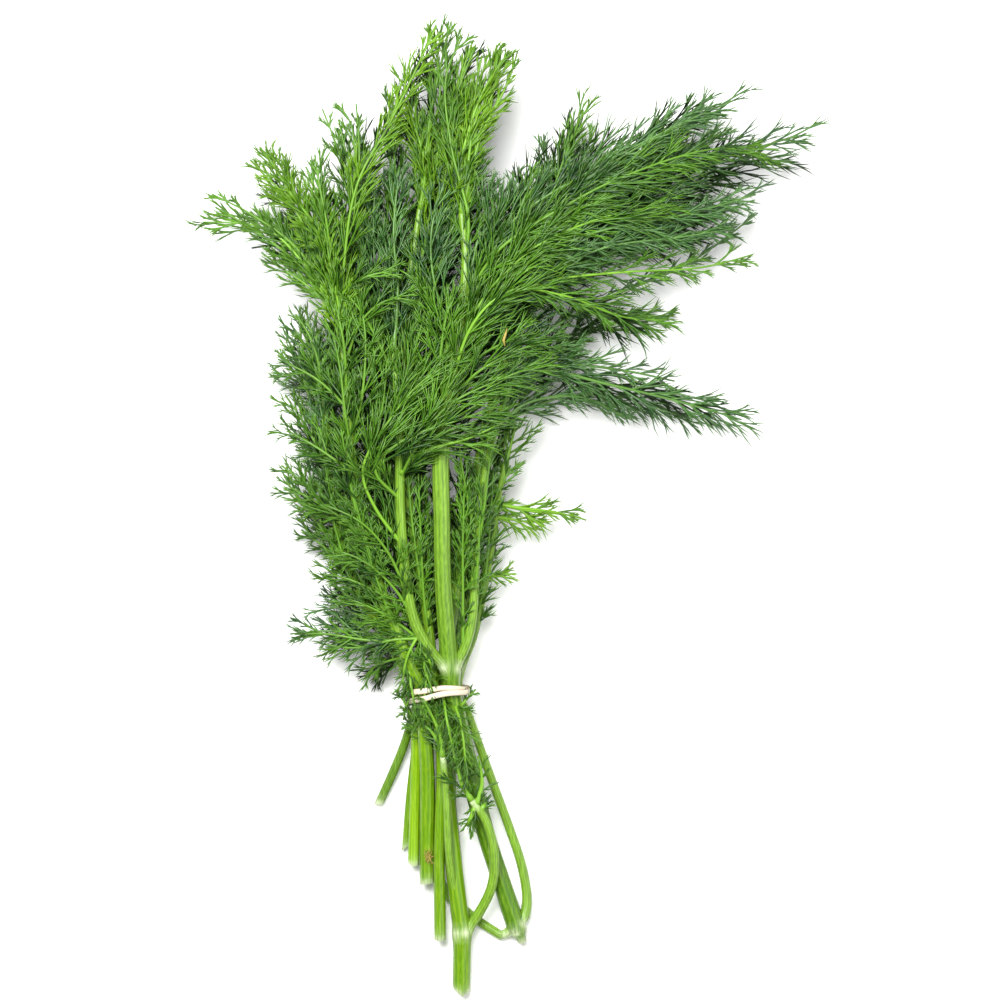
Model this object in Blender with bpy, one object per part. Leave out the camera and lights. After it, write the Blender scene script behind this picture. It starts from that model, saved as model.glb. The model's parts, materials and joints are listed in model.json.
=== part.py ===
"""Dill bunch: cut stems tied with a doubled rubber band, with their feathery fronds.

The bunch lies on its side along +Y, tips forward, and rests on z = 0. Metres, +Z up.
Stems and fronds follow routes drawn on a plan of the bunch seen from above. A route point holds
the plan's x (to the right), its y (down, towards the cut ends) and a height in millimetres.
Fronds that would cross are bent clear of each other, and each fine thread is turned or left out
where it would touch another piece.
"""

import math
import random
from collections import namedtuple

import bmesh
import bpy
import numpy as np
from mathutils import Matrix, Vector

MM = 0.001
BUNCH_LENGTH = 0.330
PLAN_LENGTH = 990.0
PLAN_SCALE = BUNCH_LENGTH / PLAN_LENGTH
PLAN_ORIGIN = (500.0, 503.0)

GAP = 0.0003
FLOOR_HEIGHT = 0.0
SEED = 41

# Band round the stems
TIE_Y = 693.0
TIE_LIFT = 0.0019
TIE_SPREAD = 75.0
BAND_THICKNESS = 0.0012
BAND_FLATNESS = 2.0
BAND_SPREAD = 0.00135
BAND_STEPS = 36
STEM_ALLOWANCE = 1.045

# Tubes
STEM_STEP = 0.011
LOW_STEM = 0.006
RACHIS_STEP = 0.012
RACHIS_ROOT = 0.0009
RACHIS_TIP = 0.00045

# Threads
THREAD_ROOT = 0.00042
THREAD_TIP = 0.00025
SHORTEST_THREAD = 0.003
TIP_SHARE = 0.45
TIP_OVERLAP = 0.85
TIP_SWEEP = 12
FORK_AT = 0.4
FIRST_THREAD = 0.003
LAST_THREAD = 0.002
TANGENT_SPAN = 0.002
NEARBY = 0.012

Frond = namedtuple("Frond", "name parent path reach habit tone")
Habit = namedtuple("Habit", "spacing sweep pinnule_angle pinnule_share lift bare")

# Spacing in metres, angles in degrees, shares of a length
HABITS = {
    "fern": Habit(0.0142, 46, 38, 0.55, 16, 0.10),
    "brush": Habit(0.0160, 28, 26, 0.60, 16, 0.08),
    "sparse": Habit(0.0175, 40, 32, 0.55, 16, 0.30),
}

# A stem's point holds plan x, plan y, height and radius in millimetres
STEMS = {
    "stem_stray": {
        "main": (
            (378, 806, 1.1, 1.5), (392, 775, 2.2, 1.5), (404, 745, 3.0, 1.4), (413, 715, 4.5, 1.35),
            (417.2, 693, 5.05, 1.3), (402, 660, 6.5, 1.3), (382, 620, 8, 1.25), (362, 570, 9, 1.2),
            (352, 500, 9.5, 1.1), (350, 430, 10, 1.0), (352, 360, 10, 0.9)
        ),
    },
    "stem_hidden_left": {
        "main": (
            (405, 851, 1.6, 1.2), (409, 800, 2.4, 1.2), (416, 745, 3.9, 1.2), (424, 715, 5.6, 1.25),
            (428, 693, 8.05, 1.3), (420, 650, 11.5, 1.3), (408, 600, 14.5, 1.3), (398, 540, 17, 1.2),
            (390, 480, 18, 1.2), (380, 420, 19, 1.1), (372, 360, 19.5, 1.1), (368, 300, 19, 1.0)
        ),
    },
    "stem_left": {
        "main": (
            (413, 868, 4.4, 1.85), (414, 830, 5.2, 1.8), (415.5, 780, 6.6, 1.8), (416.5, 735, 8.1, 1.8),
            (416.3, 693, 9.05, 1.75), (396, 655, 12.5, 1.7), (372, 615, 15.5, 1.6),
            (350, 570, 17.5, 1.5), (336, 520, 19, 1.4), (328, 460, 20, 1.2), (325, 400, 20.5, 1.0)
        ),
    },
    "stem_scarred": {
        "main": (
            (427, 885, 5.0, 2.5), (427, 840, 7.0, 2.5), (427, 780, 10.2, 2.45), (424.6, 735, 13.0, 2.3),
            (422.4, 693, 13.4, 2.2), (406, 655, 17.5, 2.2), (388, 610, 22, 2.1), (370, 560, 26, 2.0),
            (357, 500, 29, 1.8), (350, 440, 31, 1.6), (345, 380, 32, 1.4), (339, 320, 32.5, 1.2),
            (330, 270, 32, 1.0)
        ),
    },
    "stem_centre": {
        "main": (
            (440, 942, 4.8, 1.9), (439.5, 900, 6.6, 1.9), (439, 860, 9.0, 1.85), (440, 820, 11.0, 1.8),
            (441.5, 760, 11.2, 1.75), (434.6, 693, 11.35, 1.7), (431, 650, 13.6, 1.7),
            (424, 600, 17.5, 1.6), (416, 550, 21, 1.6), (408, 490, 23.5, 1.5), (405, 420, 25, 1.4),
            (405, 350, 26, 1.3), (410, 280, 26.5, 1.1), (420, 210, 26, 1.0)
        ),
    },
    "stem_long": {
        "main": (
            (461, 998, 2.2, 2.8), (462, 938, 5.2, 3.0), (459, 911, 6.7, 2.9), (453, 860, 7.3, 2.8),
            (448, 810, 7.4, 2.7), (445, 760, 7.0, 2.6), (442.7, 693, 6.15, 2.5), (446, 650, 9, 2.3),
            (454, 600, 12.5, 2.2), (464, 550, 15.5, 2.1), (474, 490, 18, 1.9), (486, 430, 20, 1.7),
            (500, 380, 21, 1.5), (518, 330, 21.5, 1.3), (540, 285, 21, 1.1)
        ),
        "looped_stalk": (
            (463, 936, 5.4, 1.8), (478, 916, 6.8, 1.7), (492, 886, 9.8, 1.6), (494, 852, 12.6, 1.5),
            (486, 822, 14.2, 1.4), (472, 801, 15.0, 1.2)
        ),
        "short_stalk": (
            (454, 893, 8.0, 1.3), (449, 855, 12.0, 1.25), (447, 815, 14.6, 1.2), (445, 780, 15.4, 1.15),
            (443, 757, 16.4, 1.1)
        ),
    },
    "stem_forked": {
        "main": (
            (522, 943, 2.2, 2.7), (516, 925, 3.0, 2.9), (503, 888, 4.6, 2.9), (488, 842, 6.2, 2.95),
            (474, 790, 8.2, 3.0), (463, 742, 10.2, 3.0), (452, 693, 11.75, 3.0), (450, 672, 13.3, 3.2),
            (447, 635, 17.5, 2.9), (443, 580, 23, 2.8), (442, 520, 28, 2.8), (441, 460, 31, 2.7),
            (446, 410, 32.5, 2.4), (455, 360, 33, 2.1), (463, 310, 33, 1.8), (466, 260, 32.5, 1.5),
            (462, 215, 32, 1.2)
        ),
        "left_fork": (
            (449, 671, 14.5, 2.0), (441, 663, 17.0, 1.9), (430, 650, 19.0, 1.9), (416, 625, 22.5, 1.85),
            (408, 595, 25.5, 1.8), (404, 560, 27.5, 1.75), (401, 520, 29.5, 1.7), (400, 480, 31, 1.6),
            (400, 440, 32.5, 1.4), (398, 400, 33, 1.2), (394, 350, 33, 1.1)
        ),
        "right_fork": (
            (452, 668, 14, 1.7), (464, 650, 15.5, 1.6), (472, 620, 17.5, 1.5), (475, 580, 19.5, 1.4),
            (477, 540, 21.5, 1.4), (481, 500, 23.5, 1.3), (488, 460, 25, 1.2), (498, 420, 26.5, 1.1),
            (512, 385, 27.5, 1.0)
        ),
        "outer_stalk": (
            (519, 933, 3.0, 1.9), (527, 905, 2.6, 1.6), (522, 868, 3.0, 1.55), (509, 828, 4.0, 1.5),
            (494, 787, 5.4, 1.4), (480, 748, 6.4, 1.35), (468, 714, 6.8, 1.3), (458.3, 693, 6.75, 1.3),
            (462, 668, 7, 1.3), (474, 635, 9, 1.3), (484, 590, 11.5, 1.2), (492, 545, 14, 1.1),
            (498, 500, 16, 1.0), (505, 465, 17, 0.9)
        ),
        "under_stalk": (
            (516, 934, 2.4, 1.7), (503, 937, 1.8, 1.6), (483, 926, 1.15, 1.5), (465, 912, 1.15, 1.45),
            (448, 898, 1.15, 1.45), (438, 872, 1.2, 1.4), (432, 830, 1.5, 1.4), (429.5, 770, 2.0, 1.4),
            (429, 693, 2.45, 1.4), (426, 650, 3.2, 1.3), (420, 600, 4.2, 1.3), (418, 530, 5.5, 1.2),
            (424, 460, 7, 1.1), (440, 390, 8, 1.0), (465, 330, 8.5, 0.9)
        ),
    },
    "stem_hidden_right": {
        "main": (
            (455, 868, 0.95, 1.3), (452, 800, 1.6, 1.3), (452, 745, 2.0, 1.4), (450.8, 693, 2.45, 1.4),
            (456, 650, 3, 1.4), (466, 600, 4, 1.3), (478, 540, 5, 1.2), (492, 480, 6, 1.1),
            (512, 420, 7, 1.0), (540, 370, 7.5, 0.9)
        ),
    },
}

SCARRED = ("stem_scarred", "main")
LEFT = ("stem_left", "main")
STRAY = ("stem_stray", "main")
HIDDEN_LEFT = ("stem_hidden_left", "main")
CENTRE = ("stem_centre", "main")
FORKED = ("stem_forked", "main")
LEFT_FORK = ("stem_forked", "left_fork")
RIGHT_FORK = ("stem_forked", "right_fork")
OUTER_STALK = ("stem_forked", "outer_stalk")
UNDER_STALK = ("stem_forked", "under_stalk")
LONG = ("stem_long", "main")
LOOPED_STALK = ("stem_long", "looped_stalk")
SHORT_STALK = ("stem_long", "short_stalk")
HIDDEN_RIGHT = ("stem_hidden_right", "main")

# A frond's first point is where it leaves its stem, the others hold plan x, plan y and height.
# Reach is the length of its longest side threads in millimetres.
FRONDS = (
    Frond("frond_left_01", SCARRED, ((402, 645), (372, 634, 18), (330, 631, 16), (272, 636, 12)),
          13, "fern", "blue"),
    Frond("frond_left_02", SCARRED, ((380, 592), (345, 578, 24), (303, 572, 21)), 14, "fern", "green"),
    Frond("frond_left_03", SCARRED, ((364, 535), (325, 507, 27), (274, 478, 23)), 14, "fern", "green"),
    Frond("frond_left_04", SCARRED, ((354, 475), (318, 448, 30), (272, 422, 26)), 14, "fern", "green"),
    Frond("frond_left_05", SCARRED, ((347, 405), (315, 378, 32), (262, 352, 28)), 14, "fern", "green"),
    Frond("frond_left_06", SCARRED, ((337, 310), (305, 265, 33), (262, 228, 31), (180, 222, 27)),
          16, "brush", "green"),
    Frond("frond_left_07", SCARRED, ((331, 275), (316, 228, 33), (292, 195, 32), (258, 140, 29)),
          15, "fern", "lime"),
    Frond("frond_left_08", SCARRED, ((334, 290), (328, 230, 35), (319, 180, 34), (313, 138, 32)),
          12, "brush", "green"),
    Frond("frond_left_09", LEFT, ((400, 662), (384, 660, 11), (357, 684, 6)), 10, "fern", "green"),
    Frond("frond_left_10", LEFT, ((376, 620), (350, 612, 14), (306, 600, 11)), 13, "fern", "blue"),
    Frond("frond_left_11", LEFT, ((353, 575), (325, 548, 17), (287, 520, 14)), 13, "fern", "green"),
    Frond("frond_left_12", LEFT, ((337, 525), (305, 485, 18), (267, 455, 15)), 13, "fern", "green"),
    Frond("frond_left_13", LEFT, ((329, 465), (305, 425, 19), (275, 380, 16)), 13, "fern", "green"),
    Frond("frond_left_14", LEFT, ((325, 402), (310, 355, 20), (280, 308, 17)), 14, "fern", "blue"),
    Frond("frond_under_02", STRAY, ((362, 570), (330, 540, 5), (298, 532, 0.3)), 13, "fern", "green"),
    Frond("frond_under_03", STRAY, ((352, 500), (325, 460, 7), (290, 440, 3)), 13, "fern", "green"),
    Frond("frond_under_04", STRAY, ((350, 430), (318, 395, 6), (285, 345, 0.3)), 14, "fern", "blue"),
    Frond("frond_under_05", STRAY, ((352, 362), (342, 300, 9), (312, 250, 5), (265, 212, 0.3)),
          15, "brush", "green"),
    Frond("frond_top_01", SCARRED, ((342, 345), (345, 260, 35), (358, 185, 36), (395, 115, 34),
          (444, 12, 30)),
          15, "brush", "lime"),
    Frond("frond_top_02", HIDDEN_LEFT, ((368, 305), (362, 230, 21), (356, 165, 22), (350, 122, 22),
          (326, 92, 20)),
          13, "sparse", "green"),
    Frond("frond_top_03", HIDDEN_LEFT, ((374, 375), (391, 290, 21), (396, 190, 21), (388, 82, 18)),
          14, "brush", "green"),
    Frond("frond_top_04", CENTRE, ((420, 212), (430, 150, 26), (440, 90, 25), (432, 12, 22)),
          14, "brush", "green"),
    Frond("frond_top_05", CENTRE, ((408, 300), (430, 230, 28), (448, 150, 28), (462, 60, 25)),
          15, "brush", "lime"),
    Frond("frond_top_06", CENTRE, ((404, 390), (385, 320, 27), (374, 250, 28), (376, 165, 27)),
          15, "brush", "blue"),
    Frond("frond_top_07", LEFT_FORK, ((394, 352), (398, 290, 33), (394, 230, 32), (402, 150, 30)),
          15, "brush", "blue"),
    Frond("frond_top_08", FORKED, ((462, 217), (462, 160, 31), (482, 95, 30), (517, 40, 27)),
          15, "brush", "lime"),
    Frond("frond_top_09", FORKED, ((457, 345), (436, 290, 35), (432, 230, 35), (452, 160, 33)),
          15, "brush", "blue"),
    Frond("frond_inner_01", SCARRED, ((357, 500), (372, 455, 33), (384, 400, 35), (388, 345, 35)),
          14, "brush", "green"),
    Frond("frond_inner_02", HIDDEN_LEFT, ((394, 510), (376, 450, 20), (362, 390, 21)), 13, "fern", "blue"),
    Frond("frond_drape_01", LEFT_FORK, ((402, 548), (378, 512, 31), (364, 480, 36), (368, 455, 38),
          (392, 418, 40),
          (425, 380, 40), (480, 350, 38)), 20, "brush", "green"),
    Frond("frond_drape_02", LEFT_FORK, ((400, 475), (422, 452, 37), (470, 438, 39), (525, 412, 36)),
          14, "brush", "green"),
    Frond("frond_right_01", FORKED, ((452, 375), (480, 305, 37), (520, 260, 38), (556, 237, 38),
          (620, 214, 36),
          (700, 204, 32)), 20, "brush", "green"),
    Frond("frond_right_02", FORKED, ((463, 300), (510, 225, 35), (590, 172, 35), (680, 125, 32),
          (755, 92, 28)),
          20, "brush", "blue"),
    Frond("frond_right_03", FORKED, ((447, 405), (470, 330, 38), (510, 292, 41), (565, 297, 40),
          (625, 318, 36),
          (690, 321, 31)), 17, "brush", "green"),
    Frond("frond_right_04", FORKED, ((455, 355), (490, 312, 35), (545, 283, 35), (620, 273, 32),
          (700, 268, 28),
          (770, 250, 24)), 15, "sparse", "green"),
    Frond("frond_right_05", RIGHT_FORK, ((512, 387), (545, 371, 29), (610, 385, 27), (680, 402, 22),
          (764, 426, 15)),
          17, "brush", "blue"),
    Frond("frond_right_06", RIGHT_FORK, ((495, 430), (530, 402, 25), (585, 398, 21), (640, 428, 14)),
          15, "brush", "blue"),
    Frond("frond_right_07", LONG, ((540, 287), (600, 222, 24), (680, 175, 23), (760, 147, 20),
          (824, 129, 17)),
          20, "brush", "blue"),
    Frond("frond_right_08", LONG, ((520, 327), (535, 250, 23), (560, 170, 20), (590, 93, 14)),
          15, "brush", "green"),
    Frond("frond_right_09", LONG, ((530, 305), (590, 230, 20), (650, 165, 16), (705, 84, 11)),
          17, "brush", "blue"),
    Frond("frond_right_10", LONG, ((502, 375), (550, 330, 20), (610, 297, 16), (690, 262, 12), (768, 205, 8)),
          17, "brush", "blue"),
    Frond("frond_low_01", OUTER_STALK, ((498, 503), (520, 508, 16), (555, 512, 14), (592, 522, 12)),
          9, "fern", "lime"),
    Frond("frond_low_02", OUTER_STALK, ((487, 578), (500, 576, 12), (520, 565, 11)), 7, "fern", "lime"),
    Frond("frond_low_03", OUTER_STALK, ((504, 468), (512, 440, 17), (520, 405, 17)), 12, "fern", "green"),
    Frond("frond_under_06", UNDER_STALK, ((464, 333), (520, 250, 9), (600, 185, 4.5), (700, 150, 0.3)),
          20, "brush", "blue"),
    Frond("frond_under_07", UNDER_STALK, ((428, 445), (418, 360, 8), (414, 270, 8), (430, 180, 4),
          (470, 90, 0.3)),
          17, "brush", "green"),
    Frond("frond_under_08", HIDDEN_RIGHT, ((538, 373), (590, 330, 7), (650, 318, 3.5), (686, 322, 0.3)),
          15, "brush", "green"),
    Frond("frond_under_09", HIDDEN_RIGHT, ((515, 415), (570, 395, 6), (640, 400, 3.5), (705, 425, 0.3)),
          15, "brush", "blue"),
    Frond("frond_tie_01", LOOPED_STALK, ((472, 801), (462, 785, 16), (456, 760, 17), (450, 742, 18)),
          10, "fern", "green"),
    Frond("frond_tie_02", SHORT_STALK, ((443, 757), (440, 735, 18), (430, 712, 20), (416, 688, 20.5)),
          10, "fern", "green"),
)

COLOURS = {
    "stem": (0.20, 0.42, 0.07),
    "rubber": (0.80, 0.76, 0.62),
    "green": (0.07, 0.24, 0.02),
    "blue": (0.035, 0.13, 0.03),
    "lime": (0.16, 0.38, 0.04),
}


def place(x, y, height):
    """World position of a plan point whose height is in millimetres."""
    return ((x - PLAN_ORIGIN[0]) * PLAN_SCALE, (PLAN_ORIGIN[1] - y) * PLAN_SCALE, height * MM)


def smooth_line(points, step):
    """A curve through the points, resampled at even steps. Columns past z, such as radius, follow along."""
    knots = np.array(points, float)
    knots = np.vstack([2 * knots[0] - knots[1], knots, 2 * knots[-1] - knots[-2]])
    t = np.linspace(0, 1, 20, endpoint=False)[:, None]
    pieces = []
    for a, b, c, d in zip(knots, knots[1:], knots[2:], knots[3:]):
        pieces.append(0.5 * (2 * b + (c - a) * t + (2 * a - 5 * b + 4 * c - d) * t ** 2
                             + (3 * b - a - 3 * c + d) * t ** 3))
    fine = np.vstack(pieces + [knots[-2][None]])
    run = arc_lengths(fine)
    count = max(2, round(run[-1] / step))
    stations = np.linspace(0, run[-1], count + 1)
    return np.stack([np.interp(stations, run, column) for column in fine.T], axis=1)


def arc_lengths(line):
    """Distance along the line at each of its points."""
    return np.concatenate([[0], np.cumsum(np.linalg.norm(np.diff(line[:, :3], axis=0), axis=1))])


def stem_line(points):
    """Centre line of a stem with its radius. The stems rise where the band passes under them."""
    rows = []
    for x, y, height, radius in points:
        lift = TIE_LIFT * math.exp(-((y - TIE_Y) / TIE_SPREAD) ** 2)
        px, py, pz = place(x, y, height)
        rows.append((px, py, pz + lift, radius * MM))
    return smooth_line(rows, STEM_STEP)


def rod_gaps(first_starts, first_ends, starts, ends):
    """Least distances between the segments of two sets, as a table: one row a segment of the first set."""
    d1 = (first_ends - first_starts)[:, None]
    d2 = (ends - starts)[None]
    r = first_starts[:, None] - starts[None]
    tiny = 1e-18
    a = (d1 * d1).sum(2) + tiny
    e = (d2 * d2).sum(2) + tiny
    f = (d2 * r).sum(2)
    c = (d1 * r).sum(2)
    b = (d1 * d2).sum(2)
    den = a * e - b * b
    safe = np.where(den > tiny, den, 1)
    s = np.clip(np.where(den > tiny, (b * f - c * e) / safe, 0), 0, 1)
    t = (b * s + f) / e
    s = np.where(t < 0, np.clip(-c / a, 0, 1), np.where(t > 1, np.clip((b - c) / a, 0, 1), s))
    t = np.clip(t, 0, 1)
    apart = r + s[..., None] * d1 - t[..., None] * d2
    return np.sqrt((apart * apart).sum(2))


class Thicket:
    """The straight rods placed so far, each with the name of the piece that owns it."""

    def __init__(self):
        self.starts = np.zeros((0, 3))
        self.ends = np.zeros((0, 3))
        self.radii = np.zeros(0)
        self.owners = np.zeros(0, dtype=object)

    def add_line(self, line, radii, owner):
        thick = np.maximum(radii[:-1], radii[1:])
        self.starts = np.vstack([self.starts, line[:-1, :3]])
        self.ends = np.vstack([self.ends, line[1:, :3]])
        self.radii = np.concatenate([self.radii, thick])
        self.owners = np.concatenate([self.owners, np.array([owner] * len(thick), dtype=object)])

    def room(self, start, end, radius, owner):
        """Free space left round a rod, to the nearest piece of another owner."""
        middle = (start + end) / 2
        reach = np.linalg.norm(end - start) / 2 + NEARBY
        near = (self.owners != owner) & (np.abs(self.starts - middle).max(1) < reach)
        if not near.any():
            return 1.0
        gaps = rod_gaps(start[None], end[None], self.starts[near], self.ends[near])[0]
        return float((gaps - self.radii[near]).min() - radius)


def rachis_radii(count):
    return np.linspace(RACHIS_ROOT, RACHIS_TIP, count)


def rachis_line(frond, stems):
    """Centre line of a frond, from just outside its stem to its tip."""
    parent = stems[frond.parent]
    x, y = frond.path[0]
    root = np.array(place(x, y, 0))
    nearest = parent[np.argmin(np.hypot(*(parent[:, :2] - root[:2]).T))]
    line = smooth_line([nearest[:3]] + [place(*point) for point in frond.path[1:]], RACHIS_STEP / 3)
    bent_stem_share = 1.15
    clear = nearest[3] * bent_stem_share + RACHIS_ROOT + 2 * GAP
    gaps = rod_gaps(line, line, parent[:-1, :3], parent[1:, :3]).min(1)
    first = int(np.argmax(gaps > clear))
    run = arc_lengths(line)
    last = int(np.argmax(run > run[-1] - TIP_OVERLAP * TIP_SHARE * frond.reach * MM))
    return smooth_line(line[first:last], RACHIS_STEP)


def bend_clear(rachises, fixed, rounds=120):
    """Lifts or lowers stretches of the fronds until none touches another frond or a stem."""
    names = list(rachises)
    owner = np.concatenate([[i] * (len(rachises[n]) - 1) for i, n in enumerate(names)])
    radii = np.concatenate([rachis_radii(len(rachises[n]))[:-1] for n in names])
    margin = 2.2 * GAP
    spread = [0.12, 0.22, 0.32, 0.22, 0.12]
    for _ in range(rounds):
        starts = np.vstack([rachises[n][:-1] for n in names])
        ends = np.vstack([rachises[n][1:] for n in names])
        heights = (starts[:, 2] + ends[:, 2]) / 2
        between = radii[:, None] + radii[None] + margin - rod_gaps(starts, ends, starts, ends)
        between[owner[:, None] == owner[None]] = -1
        fixed_gaps = rod_gaps(starts, ends, fixed.starts, fixed.ends)
        to_fixed = radii[:, None] + fixed.radii[None] + margin - fixed_gaps
        rival = between.argmax(1)
        short = between.max(1)
        up = np.where(heights >= heights[rival], 1, -1)
        push = np.where(short > 0, 0.6 * up * short, 0)
        rival = to_fixed.argmax(1)
        short_fixed = to_fixed.max(1)
        fixed_heights = (fixed.starts[rival, 2] + fixed.ends[rival, 2]) / 2
        up = np.where(heights >= fixed_heights, 1, -1)
        push = push + np.where(short_fixed > 0, 1.1 * up * short_fixed, 0)
        if max(short.max(), short_fixed.max()) <= 0.5 * margin:
            break
        for i, name in enumerate(names):
            line = rachises[name]
            part = push[owner == i]
            nodes = np.concatenate([part, [0]]) + np.concatenate([[0], part])
            wide = np.convolve(np.pad(nodes, 2, mode="edge"), spread, "valid")
            lowest = FLOOR_HEIGHT + GAP / 3 + rachis_radii(len(line))
            line[:, 2] = np.maximum(line[:, 2] + wide, lowest)
    return rachises


def frame_at(line, run, distance):
    """Point, tangent, side and upward directions at a distance along a line."""
    point = np.array([np.interp(distance, run, line[:, k]) for k in range(3)])
    ahead = np.array([np.interp(min(distance + TANGENT_SPAN, run[-1]), run, line[:, k]) for k in range(3)])
    behind = np.array([np.interp(max(distance - TANGENT_SPAN, 0), run, line[:, k]) for k in range(3)])
    tangent = (ahead - behind) / np.linalg.norm(ahead - behind)
    side = np.cross(tangent, (0, 0, 1))
    side = side / np.linalg.norm(side)
    return point, tangent, side, np.cross(side, tangent)


def thread_direction(tangent, side, upward, sweep, lift, hand):
    """Unit vector swept out from the tangent to one hand, and lifted."""
    out = math.cos(lift) * hand * side + math.sin(lift) * upward
    return math.cos(sweep) * tangent + math.sin(sweep) * out


def settle_thread(start, tangent, side, upward, sweep, lift, hand, length, owner, thicket):
    """A thread turned and shortened until it has room, or None."""
    for share in (1.0, 0.75, 0.5):
        if length * share < SHORTEST_THREAD:
            return None
        for turn in (0, 14, -14, 28, -28, 45, -45):
            way = thread_direction(tangent, side, upward, sweep, lift + math.radians(turn), hand)
            end = start + way * length * share
            end[2] = max(end[2], FLOOR_HEIGHT + THREAD_TIP)
            if thicket.room(start, end, THREAD_ROOT + GAP, owner) > 0:
                return start, end
    return None


def leaf_width(share):
    """Length of the side threads along a frond, as a share of its reach."""
    return 0.45 + 0.55 * math.sin(math.pi * min(1, 0.18 + 0.82 * share) ** 0.9)


class Threads:
    """The threads that one frond has been given so far."""

    def __init__(self, owner, thicket):
        self.owner = owner
        self.thicket = thicket
        self.rods = []

    def add(self, start, tangent, side, upward, sweep, lift, hand, length):
        """A thread from a point, kept if there is room for it."""
        found = settle_thread(start, tangent, side, upward, sweep, lift, hand, length,
                              self.owner, self.thicket)
        if found:
            self.rods.append(found)
            self.thicket.add_line(np.array(found), np.array([THREAD_ROOT, THREAD_ROOT]), self.owner)
        return found


def grow_threads(frond, line, thicket):
    """The threads of a frond: side branches in pairs, their own threads, and a forked tip."""
    draw = random.Random(f"{SEED} {frond.name}")
    habit = HABITS[frond.habit]
    run = arc_lengths(line)
    threads = Threads(frond.name, thicket)
    distance = habit.bare * run[-1] + FIRST_THREAD
    forked_hand = 1
    while distance < run[-1] - LAST_THREAD:
        share = distance / run[-1]
        forked_hand = -forked_hand
        for hand in (-1, 1):
            at = min(distance + draw.uniform(0, 0.3) * habit.spacing, run[-1] - LAST_THREAD / 2)
            point, tangent, side, upward = frame_at(line, run, at)
            length = frond.reach * MM * leaf_width(share) * draw.uniform(0.85, 1.15)
            sweep = math.radians(habit.sweep * draw.uniform(0.85, 1.15))
            lift = math.radians(draw.uniform(-habit.lift, habit.lift))
            branch = threads.add(point, tangent, side, upward, sweep, lift, hand, length)
            if not branch:
                continue
            start, end = branch
            way = (end - start) / np.linalg.norm(end - start)
            across = np.cross(way, upward)
            across = across / np.linalg.norm(across)
            root = start + (end - start) * FORK_AT
            angle = math.radians(habit.pinnule_angle * draw.uniform(0.8, 1.2))
            tilt = math.radians(draw.uniform(-20, 20))
            if hand == forked_hand:
                threads.add(root, way, across, np.cross(across, way), angle, tilt, -hand,
                            length * habit.pinnule_share)
        distance += habit.spacing * draw.uniform(0.9, 1.1)
    point, tangent, side, upward = frame_at(line, run, run[-1] - 0.4 * LAST_THREAD)
    sweep = math.radians(TIP_SWEEP)
    for hand in (-1, 1):
        threads.add(point, tangent, side, upward, sweep, 0, hand, frond.reach * MM * TIP_SHARE)
    return threads.rods


def material(name, colour, roughness):
    """A plain Principled material."""
    made = bpy.data.materials.new(name)
    made.use_nodes = True
    shader = made.node_tree.nodes["Principled BSDF"]
    shader.inputs["Base Color"].default_value = (*colour, 1)
    shader.inputs["Roughness"].default_value = roughness
    shader.inputs["Metallic"].default_value = 0.0
    return made


def tube(name, line, radii, sides_resolution, collection, closed=False):
    """A tapering tube along a line, as a mesh with welded caps."""
    curve = bpy.data.curves.new(name, "CURVE")
    curve.dimensions = "3D"
    curve.bevel_depth = 1.0
    curve.bevel_resolution = sides_resolution
    curve.use_fill_caps = not closed
    spline = curve.splines.new("POLY")
    spline.points.add(len(line) - 1)
    spline.use_cyclic_u = closed
    for point, position, radius in zip(spline.points, line, radii):
        point.co = (*position[:3], 1)
        point.radius = radius
    guide = bpy.data.objects.new(name + "_curve", curve)
    collection.objects.link(guide)
    bpy.context.view_layer.update()
    mesh = bpy.data.meshes.new_from_object(guide.evaluated_get(bpy.context.evaluated_depsgraph_get()))
    work = bmesh.new()
    work.from_mesh(mesh)
    bmesh.ops.remove_doubles(work, verts=work.verts, dist=0.00001)
    bmesh.ops.recalc_face_normals(work, faces=work.faces)
    work.to_mesh(mesh)
    work.free()
    made = bpy.data.objects.new(name, mesh)
    made.matrix_world = guide.matrix_world
    collection.objects.link(made)
    bpy.data.objects.remove(guide)
    return made


def thread_cone(name, start, end, collection):
    """One fine thread: a slender three-sided cone with its root sunk in what it grows from."""
    way = Vector(end - start)
    turn = way.to_track_quat("Z", "Y").to_matrix().to_4x4()
    middle = Matrix.Translation(Vector((start + end) / 2))
    work = bmesh.new()
    bmesh.ops.create_cone(work, cap_ends=True, segments=3, radius1=THREAD_ROOT, radius2=THREAD_TIP,
                          depth=way.length, matrix=middle @ turn)
    mesh = bpy.data.meshes.new(name)
    work.to_mesh(mesh)
    work.free()
    made = bpy.data.objects.new(name, mesh)
    collection.objects.link(made)
    return made


def fuse(body, pieces, scratch):
    """Joins the pieces onto the body with one Boolean union, then removes them."""
    join = body.modifiers.new("join", "BOOLEAN")
    join.operation = "UNION"
    join.operand_type = "COLLECTION"
    join.solver = "MANIFOLD"
    join.collection = scratch
    bpy.context.view_layer.update()
    mesh = bpy.data.meshes.new_from_object(body.evaluated_get(bpy.context.evaluated_depsgraph_get()))
    body.modifiers.clear()
    body.data = mesh
    for piece in pieces:
        bpy.data.objects.remove(piece)


def finish_mesh(body, finish):
    """Gives a fused body its one material and smooth shading across its round sides."""
    body.data.materials.clear()
    body.data.materials.append(finish)
    body.data.shade_smooth()
    body.data.set_sharp_from_angle(angle=math.radians(50))


def press_flat(body, ground):
    """Flattens the underside where a stem lies on the surface."""
    trim = body.modifiers.new("flat_underside", "BOOLEAN")
    trim.operation = "DIFFERENCE"
    trim.object = ground
    trim.solver = "MANIFOLD"


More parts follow.
